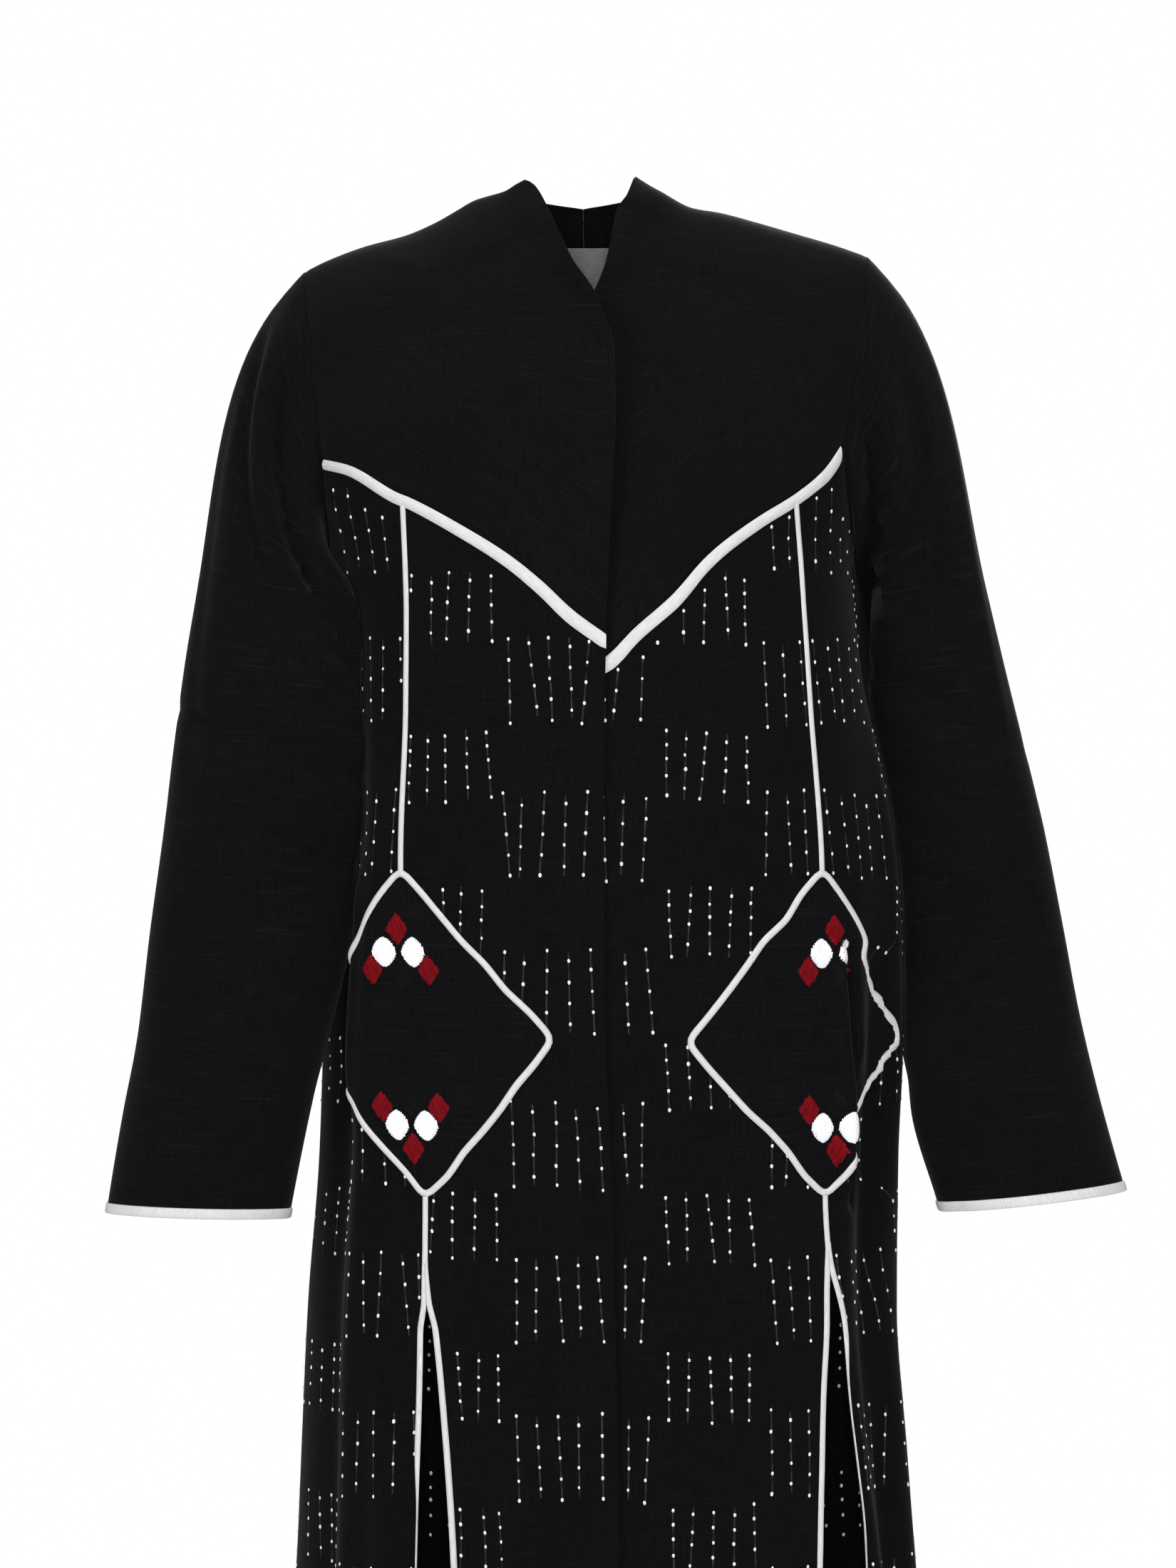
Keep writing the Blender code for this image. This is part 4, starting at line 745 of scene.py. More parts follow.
# Meshes
def make_object(name, points, faces, material, uvs=None, sharp=55):
    mesh = bpy.data.meshes.new(name)
    mesh.from_pydata((np.asarray(points) * MM).tolist(), [], faces)
    mesh.update()
    if uvs is not None:
        layer = mesh.uv_layers.new(name="Cut")
        layer.data.foreach_set("uv", (np.asarray(uvs) * MM).ravel())
    mesh.materials.append(material)
    mesh.shade_smooth()
    mesh.set_sharp_from_angle(angle=math.radians(sharp))
    item = bpy.data.objects.new(name, mesh)
    bpy.context.scene.collection.objects.link(item)
    return item


def flip_to(item, out, face=0):
    """Turns a mesh inside out when the face named looks away from the direction given."""
    if np.dot(np.array(item.data.polygons[face].normal), out) < 0:
        item.data.flip_normals()


# Width, length and area of each piece of cloth
CUTS = {}


def cut_size(points, ring):
    """Widest row, longest column and area of a grid of points, in metres."""
    rows = np.concatenate([points, points[:, :1]], 1) if ring else points
    width = np.linalg.norm(np.diff(rows, axis=1), axis=-1).sum(1).max()
    length = np.linalg.norm(np.diff(rows, axis=0), axis=-1).sum(0).max()
    across, down = np.diff(rows[:-1], axis=1), np.diff(rows[:, :-1], axis=0)
    area = np.linalg.norm(np.cross(across, down), axis=-1).sum()
    return (width * MM, length * MM), area * MM * MM


def shell(name, points, normals, cut, material, thick=CLOTH_THICK, ring=False):
    """A closed thin wall on a grid of points, its inner face inward along the normals; ring joins the rows' ends."""
    CUTS[name] = cut_size(points, ring)
    rows, columns = points.shape[:2]
    half = rows * columns
    wrap = columns if ring else columns - 1
    i, j = (part.ravel() for part in np.meshgrid(np.arange(rows - 1), np.arange(wrap), indexing="ij"))

    def at(row, column):
        return row * columns + column % columns

    quads = np.stack([at(i, j), at(i + 1, j), at(i + 1, j + 1), at(i, j + 1)], -1)
    quad_cut = np.stack([cut[i, j], cut[i + 1, j], cut[i + 1, j + 1], cut[i, j + 1]], 1)
    border, border_cut = [], []
    ends = [(0, c + 1, 0, c) for c in range(wrap)] + [(rows - 1, c, rows - 1, c + 1) for c in range(wrap)]
    if not ring:
        ends += [(r, 0, r + 1, 0) for r in range(rows - 1)]
        ends += [(r + 1, columns - 1, r, columns - 1) for r in range(rows - 1)]
    for r0, c0, r1, c1 in ends:
        a, b = at(r0, c0), at(r1, c1)
        border.append((b, a, half + a, half + b))
        border_cut.append((cut[r1, c1], cut[r0, c0], cut[r0, c0], cut[r1, c1]))
    faces = np.vstack([quads, half + quads[:, ::-1], np.array(border)])
    uvs = np.concatenate([quad_cut, quad_cut[:, ::-1], np.array(border_cut)])
    across = points[:, 1:] - points[:, :-1]
    down = points[1:] - points[:-1]
    facing = np.sum(np.cross(down[:, :-1], across[:-1]) * normals[:-1, :-1])
    if facing < 0:
        faces, uvs = faces[:, ::-1], uvs[:, ::-1]
    places = np.concatenate([points.reshape(-1, 3), (points - normals * thick).reshape(-1, 3)])
    return make_object(name, places, faces.tolist(), material, uvs.reshape(-1, 2))


def cut_of(points, start=0.0, ring=False):
    """Cut coordinates of a grid: along each row from its first column, and down by height."""
    steps = np.linalg.norm(np.diff(points, axis=1), axis=-1)
    if ring:
        steps = np.hstack([steps, np.linalg.norm(points[:, :1] - points[:, -1:], axis=-1)])
    across = np.hstack([0 * steps[:, :1], np.cumsum(steps, 1)]) + start
    middle = points[:, points.shape[1] // 2]
    down = np.concatenate([[0.0], np.cumsum(np.linalg.norm(np.diff(middle, axis=0), axis=-1))])
    return np.stack([across, down[:, None] + 0 * across], -1)


def seam_dip(points, normals, edges, depth):
    """Draws named edges of a grid in a little, as a sewn edge turns under."""
    points = points.copy()
    for edge in edges:
        line = {"top": (0, slice(None)), "low": (-1, slice(None)),
                "first": (slice(None), 0), "last": (slice(None), -1)}[edge]
        points[line] -= normals[line] * depth
    return points


# A strip's section: share of its width and how far it stands out
PROFILE = ((0.0, 0.15), (0.10, 0.95), (0.30, 1.45), (0.5, 1.6), (0.70, 1.45), (0.90, 0.95), (1.0, 0.15))


def piping(name, place, left, right, material, closed=False, height=1.0, base=0.3, seed=1):
    """A rounded folded strip laid on the cloth; place gives points and normals of a line between the two edges."""
    count = len(left)
    wobble = np.random.default_rng(seed)
    rows = []
    knots = np.arange(0, count + PIPING_KNOTS, PIPING_KNOTS)
    swell = 1 + PIPING_SWELL * np.interp(np.arange(count), knots, wobble.normal(0, 1, len(knots)))
    for share, rise in PROFILE:
        points, normals = place(mix(left, right, share))
        rows.append(points + normals * (base + rise * height * swell)[:, None])
    grid = np.array(rows).transpose(1, 0, 2)
    length = np.concatenate([[0], np.cumsum(np.linalg.norm(np.diff(grid[:, 3], axis=0), axis=-1))])
    columns = grid.shape[1]
    last = count if closed else count - 1
    faces, uvs = [], []
    width = np.linalg.norm(grid[:, -1] - grid[:, 0], axis=-1).mean()
    for i in range(last):
        here, there = i * columns, (i + 1) % count * columns
        ahead = length[i + 1] if i + 1 < count else length[i] + PIPING_CLOSE
        for k in range(columns - 1):
            faces.append((here + k, here + k + 1, there + k + 1, there + k))
            a, b = PROFILE[k][0] * width, PROFILE[k + 1][0] * width
            uvs.append([(a, length[i]), (b, length[i]), (b, ahead), (a, ahead)])
        faces.append((here + columns - 1, here, there, there + columns - 1))
        uvs.append([(width, length[i]), (0, length[i]), (0, ahead), (width, ahead)])
    if not closed:
        faces.append(tuple(range(columns))[::-1])
        faces.append(tuple((count - 1) * columns + k for k in range(columns)))
        uvs += [[(0, 0)] * columns] * 2
    _, normals = place(mix(left, right, 0.5))
    side = np.cross(grid[1, 4] - grid[1, 2], grid[2, 3] - grid[1, 3]).dot(normals[1])
    if side < 0:
        faces, uvs = [face[::-1] for face in faces], [corners[::-1] for corners in uvs]
    flat = [corner for corners in uvs for corner in corners]
    return make_object(name, grid.reshape(-1, 3), faces, material, flat, sharp=70)


def on_body(turns_z, under=False):
    return body_point(turns_z[:, 0], turns_z[:, 1], under), body_normal(turns_z[:, 0], turns_z[:, 1], under)


def pair(turn, z):
    return np.stack(np.broadcast_arrays(turn, z), -1).astype(float)


# Materials
class Nodes:
    """A new material and short ways to add nodes to it."""

    def __init__(self, name):
        self.material = bpy.data.materials.new(name)
        self.material.use_nodes = True
        self.tree = self.material.node_tree
        self.shader = self.tree.nodes["Principled BSDF"]
        self.cut = self.add("ShaderNodeUVMap", uv_map="Cut").outputs["UV"]

    def add(self, kind, **values):
        node = self.tree.nodes.new(kind)
        for name, value in values.items():
            setattr(node, name, value)
        return node

    def put(self, socket, value):
        if isinstance(value, bpy.types.NodeSocket):
            self.tree.links.new(value, socket)
        else:
            socket.default_value = value

    def scaled(self, x, y, turn=0.0):
        node = self.add("ShaderNodeMapping")
        self.put(node.inputs["Vector"], self.cut)
        node.inputs["Rotation"].default_value = (0, 0, math.radians(turn))
        node.inputs["Scale"].default_value = (x, y, 1)
        return node.outputs["Vector"]

    def noise(self, vector, detail=2.0, scale=1.0):
        node = self.add("ShaderNodeTexNoise")
        self.put(node.inputs["Vector"], vector)
        node.inputs["Scale"].default_value = scale
        node.inputs["Detail"].default_value = detail
        return node.outputs["Fac"]

    def math(self, operation, a, b):
        node = self.add("ShaderNodeMath", operation=operation)
        self.put(node.inputs[0], a)
        self.put(node.inputs[1], b)
        return node.outputs[0]

    def span(self, value, low, high, start=0.0, end=1.0):
        node = self.add("ShaderNodeMapRange")
        self.put(node.inputs["Value"], value)
        for name, number in (("From Min", low), ("From Max", high), ("To Min", start), ("To Max", end)):
            node.inputs[name].default_value = number
        return node.outputs["Result"]

    def blend(self, share, a, b):
        node = self.add("ShaderNodeMix", data_type="RGBA")
        self.put(node.inputs["Factor"], share)
        node.inputs["A"].default_value = (*a, 1)
        node.inputs["B"].default_value = (*b, 1)
        return node.outputs["Result"]

    def bump(self, height, strength, distance):
        node = self.add("ShaderNodeBump")
        node.inputs["Strength"].default_value = strength
        node.inputs["Distance"].default_value = distance
        self.put(node.inputs["Height"], height)
        self.tree.links.new(node.outputs["Normal"], self.shader.inputs["Normal"])

    def finish(self, roughness, specular, sheen=0.0, sheen_roughness=0.5):
        self.shader.inputs["Roughness"].default_value = roughness
        self.shader.inputs["Specular IOR Level"].default_value = specular
        self.shader.inputs["Sheen Weight"].default_value = sheen
        self.shader.inputs["Sheen Roughness"].default_value = sheen_roughness
        return self.material


def black_cloth(name, dark, light, slub):
    """Black slubby weave: fine warp and weft threads, and now and then a thicker, paler one."""
    nodes = Nodes(name)
    warp = nodes.noise(nodes.scaled(1150, 55), 3)
    weft = nodes.noise(nodes.scaled(45, 1250), 3)
    thick = nodes.noise(nodes.scaled(22, 620), 1)
    patch = nodes.noise(nodes.scaled(9, 7), 2)
    threads = nodes.math("ADD", warp, weft)
    slubs = nodes.span(thick, 0.62, 0.75)
    shade = nodes.math("MULTIPLY", nodes.span(threads, 0.72, 1.28), nodes.span(patch, 0.2, 0.8, 0.55, 1.0))
    shade = nodes.math("ADD", shade, nodes.math("MULTIPLY", slubs, slub))
    nodes.put(nodes.shader.inputs["Base Color"], nodes.blend(shade, dark, light))
    nodes.bump(nodes.math("ADD", threads, slubs), 0.30, 0.0004)
    return nodes.finish(0.85, 0.07, 0.035, 0.5)


def binding_cloth(name):
    """Off-white bias binding: a fine weave on the slant."""
    nodes = Nodes(name)
    first = nodes.noise(nodes.scaled(1500, 140, 45), 2)
    second = nodes.noise(nodes.scaled(1500, 140, -45), 2)
    threads = nodes.math("ADD", first, second)
    patch = nodes.noise(nodes.scaled(60, 25), 2)
    shade = nodes.math("MULTIPLY", nodes.span(threads, 0.7, 1.3), nodes.span(patch, 0.25, 0.75, 0.6, 1.0))
    nodes.put(nodes.shader.inputs["Base Color"], nodes.blend(shade, (0.52, 0.508, 0.52), (0.70, 0.688, 0.70)))
    nodes.bump(threads, 0.35, 0.0004)
    return nodes.finish(0.8, 0.25, 0.1, 0.5)


def thread_cloth(name, low, high, roughness=0.5, specular=0.4, scale=(2600, 150), turn=0.0):
    """Smooth thread laid side by side."""
    nodes = Nodes(name)
    strands = nodes.noise(nodes.scaled(*scale, turn), 2)
    nodes.put(nodes.shader.inputs["Base Color"], nodes.blend(nodes.span(strands, 0.3, 0.7), low, high))
    nodes.bump(strands, 0.4, 0.0004)
    return nodes.finish(roughness, specular, 0.02, 0.4)


def label_cloth(name):
    """Grey woven label, bare."""
    nodes = Nodes(name)
    ribs = nodes.noise(nodes.scaled(120, 2600), 1)
    patch = nodes.noise(nodes.scaled(300, 300), 2)
    shade = nodes.math("MULTIPLY", nodes.span(ribs, 0.3, 0.7), nodes.span(patch, 0.3, 0.7, 0.6, 1.0))
    nodes.put(nodes.shader.inputs["Base Color"], nodes.blend(shade, (0.15, 0.15, 0.155), (0.27, 0.27, 0.275)))
    nodes.bump(ribs, 0.3, 0.0003)
    return nodes.finish(0.7, 0.3, 0.1)


# Pieces of the garment
def add_panel(name, start, grid, cloth, under=False):
    """A dotted panel of the body, its top edge turned under at the yoke seam."""
    turns, z = grid
    points = body_point(turns, z, under)
    few = (slice(None, None, FACING_ROWS), slice(None, None, FACING_COLUMNS))
    normals = sheet_normals(points, body_normal(turns[few], z[few], under).mean((0, 1)))
    points = seam_dip(points, normals, ("top",), PANEL_TURN_UNDER)
    dress(shell(f"cloth_{name}", points, normals, cut_of(points, start), cloth), name)


def add_yokes(name, side, cloth):
    """The front and the back yoke of one side, each with its collar."""
    for part, point, facing, rows, edges in (
            ("front_yoke", front_yoke_point, side, FRONT_YOKE_ROWS, ("top", "last")),
            ("back_yoke", back_yoke_point, -side, BACK_YOKE_ROWS, ("top", "last", "first"))):
        points, normals = yoke_grid(point, side, facing, rows)
        points = seam_dip(points, normals, edges, YOKE_TURN_UNDER)
        yoke = shell(f"cloth_{part}_{name}", points, normals, cut_of(points, CUT_START[part]), cloth)
        dress(yoke, f"{part}_{name}")


def add_sleeve(name, side, cloth, trim):
    """A sleeve, puckered where its cuff is sewn on, and the cuff's band."""
    points, normals = sleeve_grid(side)
    wave = np.random.default_rng(SEED["sleeve"] + side)
    count = points.shape[1]
    knots = np.append(np.linspace(0, count, PUCKERS, endpoint=False), count)
    pucker = np.interp(np.arange(count), knots, np.resize(wave.normal(0, PUCKER_HEIGHT, PUCKERS), PUCKERS + 1))
    for row in range(PUCKER_ROWS):
        points[-1 - row] += normals[-1 - row] * (pucker * (1 - row / PUCKER_ROWS) ** 2)[:, None]
    normals = tube_normals(points, -side)
    sleeve = shell(f"cloth_sleeve_{name}", points, normals, cut_of(points, ring=True), cloth, ring=True)
    dress(sleeve, f"sleeve_{name}")
    way = unit(points[-1] - points[-3])
    band = np.array([points[-1] + way * along + normals[-1] * stand for along, stand in CUFF_OUTLINE])
    outs = np.repeat(normals[-1][None], len(band), 0)
    cuff = shell(f"cuff_{name}", band, outs, cut_of(band, ring=True), trim, thick=CUFF_THICK, ring=True)
    dress(cuff, f"cuff_binding_{name}")


def dress(item, node):
    """Carries a piece on the body in place of its solid."""
    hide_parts(node)
    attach(item, "root")


def pocket_place(side, corners):
    """Points and normals of places given by their distance across from the princess seam and their height."""
    z = corners[:, 1]
    turn = shift_turn(princess_turn(side, z, "side_x"), z, corners[:, 0] * side)
    return body_point(turn, z), body_normal(turn, z)


def pocket_line(side):
    """Points round a pocket's edge with rounded corners and the slight waver of hand sewing."""
    half = POCKET[side]
    corners = np.array([(0, POCKET_TOP_Z), (-half.centre_width, half.corner_z), (0, POCKET_LOW_Z),
                        (half.side_width, half.corner_z)], float)
    hand = np.random.default_rng(SEED["pocket"] + side)
    share = (np.arange(POCKET_STEPS) + 0.5) / POCKET_STEPS
    line = []
    for start, end in zip(corners, np.roll(corners, -1, 0)):
        way = (end - start) / np.linalg.norm(end - start)
        out = np.array([way[1], -way[0]])
        knots = hand.normal(0, POCKET_WAVER, POCKET_KNOTS)
        knots[0] = knots[-1] = 0
        bow = np.interp(share, np.linspace(0, 1, POCKET_KNOTS), knots) + POCKET_BOW * np.sin(np.pi * share)
        line.append(start + (end - start) * share[:, None] + out * bow[:, None])
    line = np.concatenate(line)
    for _ in range(2):
        line = (np.roll(line, 1, 0) + 2 * line + np.roll(line, -1, 0)) / 4
    return line


def add_pocket(name, side, cloth, trim):
    """A pocket in rings from near its middle to its edge, the middle closed by one face, and its piping."""
    half = POCKET[side]
    line = pocket_line(side)
    middle = line.mean(0)
    shares = np.append(np.linspace(*POCKET_RING_SHARES, POCKET_RINGS), 1.0)
    grid = np.array([middle + (line - middle) * share for share in shares])
    shape = grid.shape[:2] + (3,)
    places, normals = (part.reshape(shape) for part in pocket_place(side, grid.reshape(-1, 2)))
    points = places + normals * (POCKET_LIFT + POCKET_PAD * (1 - shares ** 6))[:, None, None]
    cut = np.concatenate([grid, grid[:, :1]], 1)
    pocket = shell(f"cloth_pocket_{name}", points, normals, cut, cloth, thick=POCKET_THICK, ring=True)
    seal = make_object(f"pocket_middle_{name}", points[0], [tuple(range(points.shape[1]))], cloth,
                       cut[0, :-1], sharp=70)
    flip_to(seal, normals[0, 0])
    pocket = join(pocket, seal)
    size = ((half.centre_width + half.side_width) * MM, (POCKET_TOP_Z - POCKET_LOW_Z) * MM)
    CUTS[pocket.name] = (size, CUTS[pocket.name][1])
    dress(pocket, f"pocket_{name}")
    way = np.roll(line, -1, 0) - np.roll(line, 1, 0)
    out = np.stack([way[:, 1], -way[:, 0]], -1)
    out /= np.linalg.norm(out, axis=-1, keepdims=True)
    if np.mean(np.sum(out * (line - middle), -1)) < 0:
        out = -out
    edge = piping(f"piping_pocket_{name}", lambda spots: pocket_place(side, spots), line - out * 0.4,
                  line + out * (PIPING_GAP + PIPING_WIDTH - 0.2), trim, closed=True, base=0.5, height=1.15,
                  seed=SEED["pocket_piping"] + side)
    dress(edge, f"pocket_piping_{name}")


def join(first, *others):
    """One object of several."""
    for item in bpy.context.selected_objects:
        item.select_set(False)
    for item in (first, *others):
        item.select_set(True)
    bpy.context.view_layer.objects.active = first
    bpy.ops.object.join()
    return first


def add_trims(name, side, trim):
    """The pipings above and below the pocket, the slit's two bound edges and the yoke binding."""
    def seam_strip(label, top, low):
        z = np.linspace(top, low, SEAM_STRIP_STEPS[label])
        turn = princess_turn(side, z, "side_x")
        left = pair(shift_turn(turn, z, -PIPING_WIDTH / 2), z)
        right = pair(shift_turn(turn, z, PIPING_WIDTH / 2), z)
        strip = piping(f"{label}_strip_{name}", on_body, left, right, trim, seed=SEED[label] + side)
        dress(strip, f"{label}_{name}")

    top = float(seam_z(side, PRINCESS[side][0].side_x)) - BINDING_WIDTH / 2
    slit = SLIT[side]
    seam_strip("princess_piping", top, POCKET_TOP_Z + STRIP_OVERLAP[0])
    seam_strip("lower_piping", POCKET_LOW_Z - STRIP_OVERLAP[1], slit.top - STRIP_OVERLAP[2])
    for part, edge, across, inward in (("centre", "centre_x", "side_x", -side), ("side", "side_x", "centre_x", side)):
        z = np.linspace(slit.top, HEM_Z, SLIT_STEPS)
        turn, other = (princess_turn(side, z, which) for which in (edge, across))
        closed = smooth((z - slit.apex + 10) / 24)
        turn = mix(turn, mix(turn, other, 0.5), closed)
        under = side > 0 and part == "centre"
        width = PIPING_WIDTH * mix(0.5, 1.0, smooth((slit.top - z) / (slit.top - slit.apex)))
        if part == "side":
            width = width * (1 - SLIT_ROLLED * smooth((slit.full_until - z) / slit.taper))
        left, right = pair(shift_turn(turn, z, -inward * 0.3), z), pair(shift_turn(turn, z, inward * width), z)
        strip = piping(f"slit_binding_{part}_strip_{name}", lambda spots, under=under: on_body(spots, under),
                       left, right, trim, base=0.2, seed=SEED["slit_binding"] + side)
        dress(strip, f"slit_binding_{part}_{name}")
    share = np.linspace(YOKE_STRIP_START[side], YOKE_STRIP_END[side], YOKE_STRIP_STEPS)
    x = mix(YOKE_SEAM[side][0].x, YOKE_SEAM[side][-1].x, share)
    slope = (seam_z(side, x + 4) - seam_z(side, x - 4)) / 8
    drop = mix(YOKE_STRIP_CENTRE, YOKE_STRIP_SIDE, np.linspace(0, 1, YOKE_STRIP_STEPS)) * np.hypot(1, slope)
    top_z = seam_z(side, x) + YOKE_STRIP_RISE
    upper, lower = np.stack([x, top_z], -1), np.stack([x, top_z - drop], -1)

    def across_front(spots):
        return on_body(pair(turn_at(spots[:, 0], spots[:, 1]), spots[:, 1]), side > 0)

    strip = piping(f"yoke_strip_{name}", across_front, upper, lower, trim, seed=SEED["yoke_strip"] + side)
    dress(strip, f"yoke_binding_{name}")


# Dots and their threads
DOT = 14.0
RUN_STEPS = 5
CLUSTERS = (
    {"five": (0.0, 13.7, 27.3, 41.0, 54.5), "four": (6.3, 20.0, 33.7, 47.3), "tails": (0.5, 53.5), "drop": 0.0},
    {"five": (0.0, 9.4, 18.9, 29.7, 42.8), "four": (3.7, 14.5, 22.9, 36.5), "tails": (-1.5, 44.0), "drop": 61.0},
)
PATTERN_STEP = 101.5
PATTERN_TOP = -293.4
PATTERN_ROWS = range(-5, 14)
DOTS_TOP_Z = -150.0
DOTS_HEM_GAP = 4
# Half sizes of a dot across and along its thread and outward, how far it stands off the cloth and its sides
DOT_HALF = (0.98, 1.32, 0.5)
DOT_LIFT = 0.15
STUD_SIDES = 8
STUD_SHOULDER = (0.72, 0.8)
INSIDE_DEPTH = 1.15
THREAD_LIFT = 0.22
# How far the dots keep from seams: degrees or distance along the cloth, and shares of the yoke binding's width
CENTRE_CLEAR_TURN, FRONT_EDGE_CLEAR, PRINCESS_CLEAR = 1.3, 1.5, 3.2
CENTRE_BINDING_CLEAR, SIDE_BINDING_CLEAR = 1.1, 1.25
ARMHOLE_CLEAR_TURN, BACK_ARM_CLEAR_TURN, BACK_SEAM_CLEAR = 3, 4, 4
Panel = namedtuple("Panel", "low high phase turn under")


def dot_places(low_u, high_u, phase, seed):
    """Dots and thread runs of the woven pattern, by distance along the cloth and height."""
    rough = np.random.default_rng(seed)
    low_z = HEM_Z + DOTS_HEM_GAP
    dots, runs = [], []
    first, last = math.floor((low_u - phase) / DOT), math.ceil((high_u - phase) / DOT)
    for line in range(first, last + 1):
        u = phase + line * DOT
        if not low_u < u < high_u:
            continue
        cluster = CLUSTERS[0 if line % 10 < 5 else 1]
        five = line % 2 == 0 if line % 10 < 5 else line % 2 == 1
        steps = cluster["five"] if five else cluster["four"]
        for row in PATTERN_ROWS:
            top = PATTERN_TOP - cluster["drop"] - row * PATTERN_STEP + rough.normal(0, 0.9)
            top += 1.8 * math.sin(u / 29 + row * 1.7)
            heights = [top - step + rough.normal(0, 0.35) for step in steps]
            slant = rough.normal(0, 0.035) + 0.05 * math.sin(u / 37 + top / 90)
            side_way = rough.normal(0, 0.5) + 1.6 * math.sin(top / 71 + u / 53)
            dots += [(u + side_way + slant * (top - z) + rough.normal(0, 0.2), z)
                     for z in heights if low_z < z < DOTS_TOP_Z]
            ends = heights if five else [top - cluster["tails"][0]] + heights + [top - cluster["tails"][1]]
            for a, b in zip(ends, ends[1:]):
                if low_z < b and a < DOTS_TOP_Z:
                    runs.append((u + side_way + slant * (top - a), a, u + side_way + slant * (top - b), b))
    return np.array(dots), runs


def stud_mesh(name, places, outs, downs, material, seed):
    """Small raised stitches, each an oval dome."""
    rough = np.random.default_rng(seed)
    angles = np.radians(np.arange(STUD_SIDES) * 360 / STUD_SIDES)
    ring = np.stack([np.cos(angles), np.sin(angles)], -1)
    narrow, high = STUD_SHOULDER
    template = np.concatenate([np.column_stack([ring, 0 * angles]), np.column_stack([ring * narrow, 0 * angles + high]),
                               [[0, 0, 1.0]]])
    sides = [(k, (k + 1) % STUD_SIDES) for k in range(STUD_SIDES)]
    faces = [(a, b, STUD_SIDES + b, STUD_SIDES + a) for a, b in sides]
    faces += [(STUD_SIDES + a, STUD_SIDES + b, 2 * STUD_SIDES) for a, b in sides]
    count = len(places)
    across = unit(np.cross(downs, outs))
    size = 1 + rough.normal(0, 0.08, (count, 1, 1))
    half = template[None] * np.array(DOT_HALF) * size
    points = (places[:, None] + across[:, None] * half[..., :1] + downs[:, None] * half[..., 1:2]
              + outs[:, None] * (half[..., 2:3] + DOT_LIFT))
    base = np.arange(count) * len(template)
    all_faces = [tuple(int(b) + k for k in face) for b in base for face in faces]
    item = make_object(name, points.reshape(-1, 3), all_faces, material, None, sharp=80)
    layer = item.data.uv_layers.new(name="Cut")
    start = np.repeat(rough.uniform(0, 900, (count, 2)), len(template), 0)
    flat = np.tile(template[:, :2] * 2, (count, 1)) + start
    index = np.empty(len(item.data.loops), np.int32)
    item.data.loops.foreach_get("vertex_index", index)
    layer.data.foreach_set("uv", (flat[index] * MM).ravel())
    flip_to(item, outs[0], STUD_SIDES)
    return item


def thread_mesh(name, places, outs, material, width=1.1):
    """Flat threads laid on the cloth; places and outs are runs of points and outward normals."""
    downs = unit(np.gradient(places, axis=1))
    sides = unit(np.cross(downs, outs)) * width / 2
    low, high = places - sides + outs * THREAD_LIFT, places + sides + outs * THREAD_LIFT
    count, steps = places.shape[:2]
    points = np.stack([low, high], 2).reshape(-1, 3)
    base = np.arange(count)[:, None] * steps * 2 + np.arange(steps - 1)[None] * 2
    faces = np.stack([base, base + 1, base + 3, base + 2], -1).reshape(-1, 4)
    rough = np.random.default_rng(5)
    across = np.array([0, width, width, 0])
    along = np.arange(steps - 1)[:, None] * 4 + np.array([0, 0, 4, 4])
    uvs = rough.uniform(0, 900, (count, 1, 1, 2)) + np.stack([across + 0 * along, along + 0.0], -1)[None]
    item = make_object(name, points, faces.tolist(), material, uvs.reshape(-1, 2), sharp=80)
    flip_to(item, outs[0, 0])
    return item


def add_dots(name, panel, dot, thread, seed, inside=False):
    """The dots of one panel: panel gives its limits and its way from pattern places to the body."""
    dots, runs = dot_places(panel.low, panel.high, panel.phase, seed)
    turn, keep = panel.turn(dots[:, 0], dots[:, 1])
    turn, z = turn[keep], dots[keep, 1]
    places, outs = body_point(turn, z, panel.under), body_normal(turn, z, panel.under)
    low, _ = panel.turn(dots[keep, 0], z - 2)
    downs = unit(body_point(low, z - 2, panel.under) - places)
    if inside:
        items = [stud_mesh(f"dots_{name}", places - outs * INSIDE_DEPTH, -outs, downs, dot, seed)]
    else:
        items = [stud_mesh(f"dots_{name}", places, outs, downs, dot, seed)]
        ends = np.array(runs)
        share = np.linspace(0, 1, RUN_STEPS)
        u, z = (mix(ends[:, k:k + 1], ends[:, k + 2:k + 3], share) for k in (0, 1))
        turn, keep = panel.turn(u.ravel(), z.ravel())
        whole = keep.reshape(z.shape).all(1)
        turn, z = turn.reshape(z.shape)[whole], z[whole]
        places, outs = (way(turn.ravel(), z.ravel(), panel.under).reshape(z.shape + (3,))
                        for way in (body_point, body_normal))
        items.append(thread_mesh(f"threads_{name}", places, outs, thread))
    for item in items:
        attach(item, "root")


def centre_pattern(side, phase):
    def place(u, z):
        turn = shift_turn(front_edge_turn(side, z), z, side * u)
        end = princess_turn(side, z, "centre_x")
        x = base_point(turn, z)[:, 0]
        clear = z < seam_z(side, x) - BINDING_WIDTH * CENTRE_BINDING_CLEAR
        return turn, (turn * side < end * side - CENTRE_CLEAR_TURN) & (u > FRONT_EDGE_CLEAR) & clear
    return Panel(1.0, 190.0, phase, place, side > 0)


def side_pattern(side, phase):
    def place(u, z):
        turn = shift_turn(princess_turn(side, z, "side_x"), z, side * u)
        x = base_point(turn, z)[:, 0]
        low = np.where(z > UNDERARM_Z[side], arm_low_turn(side, z), SIDE_TURN - 1)
        clear = z < seam_z(side, x) - BINDING_WIDTH * SIDE_BINDING_CLEAR
        return turn, (turn * side < low) & (u > PRINCESS_CLEAR) & clear
    return Panel(1.0, 200.0, phase, place, False)


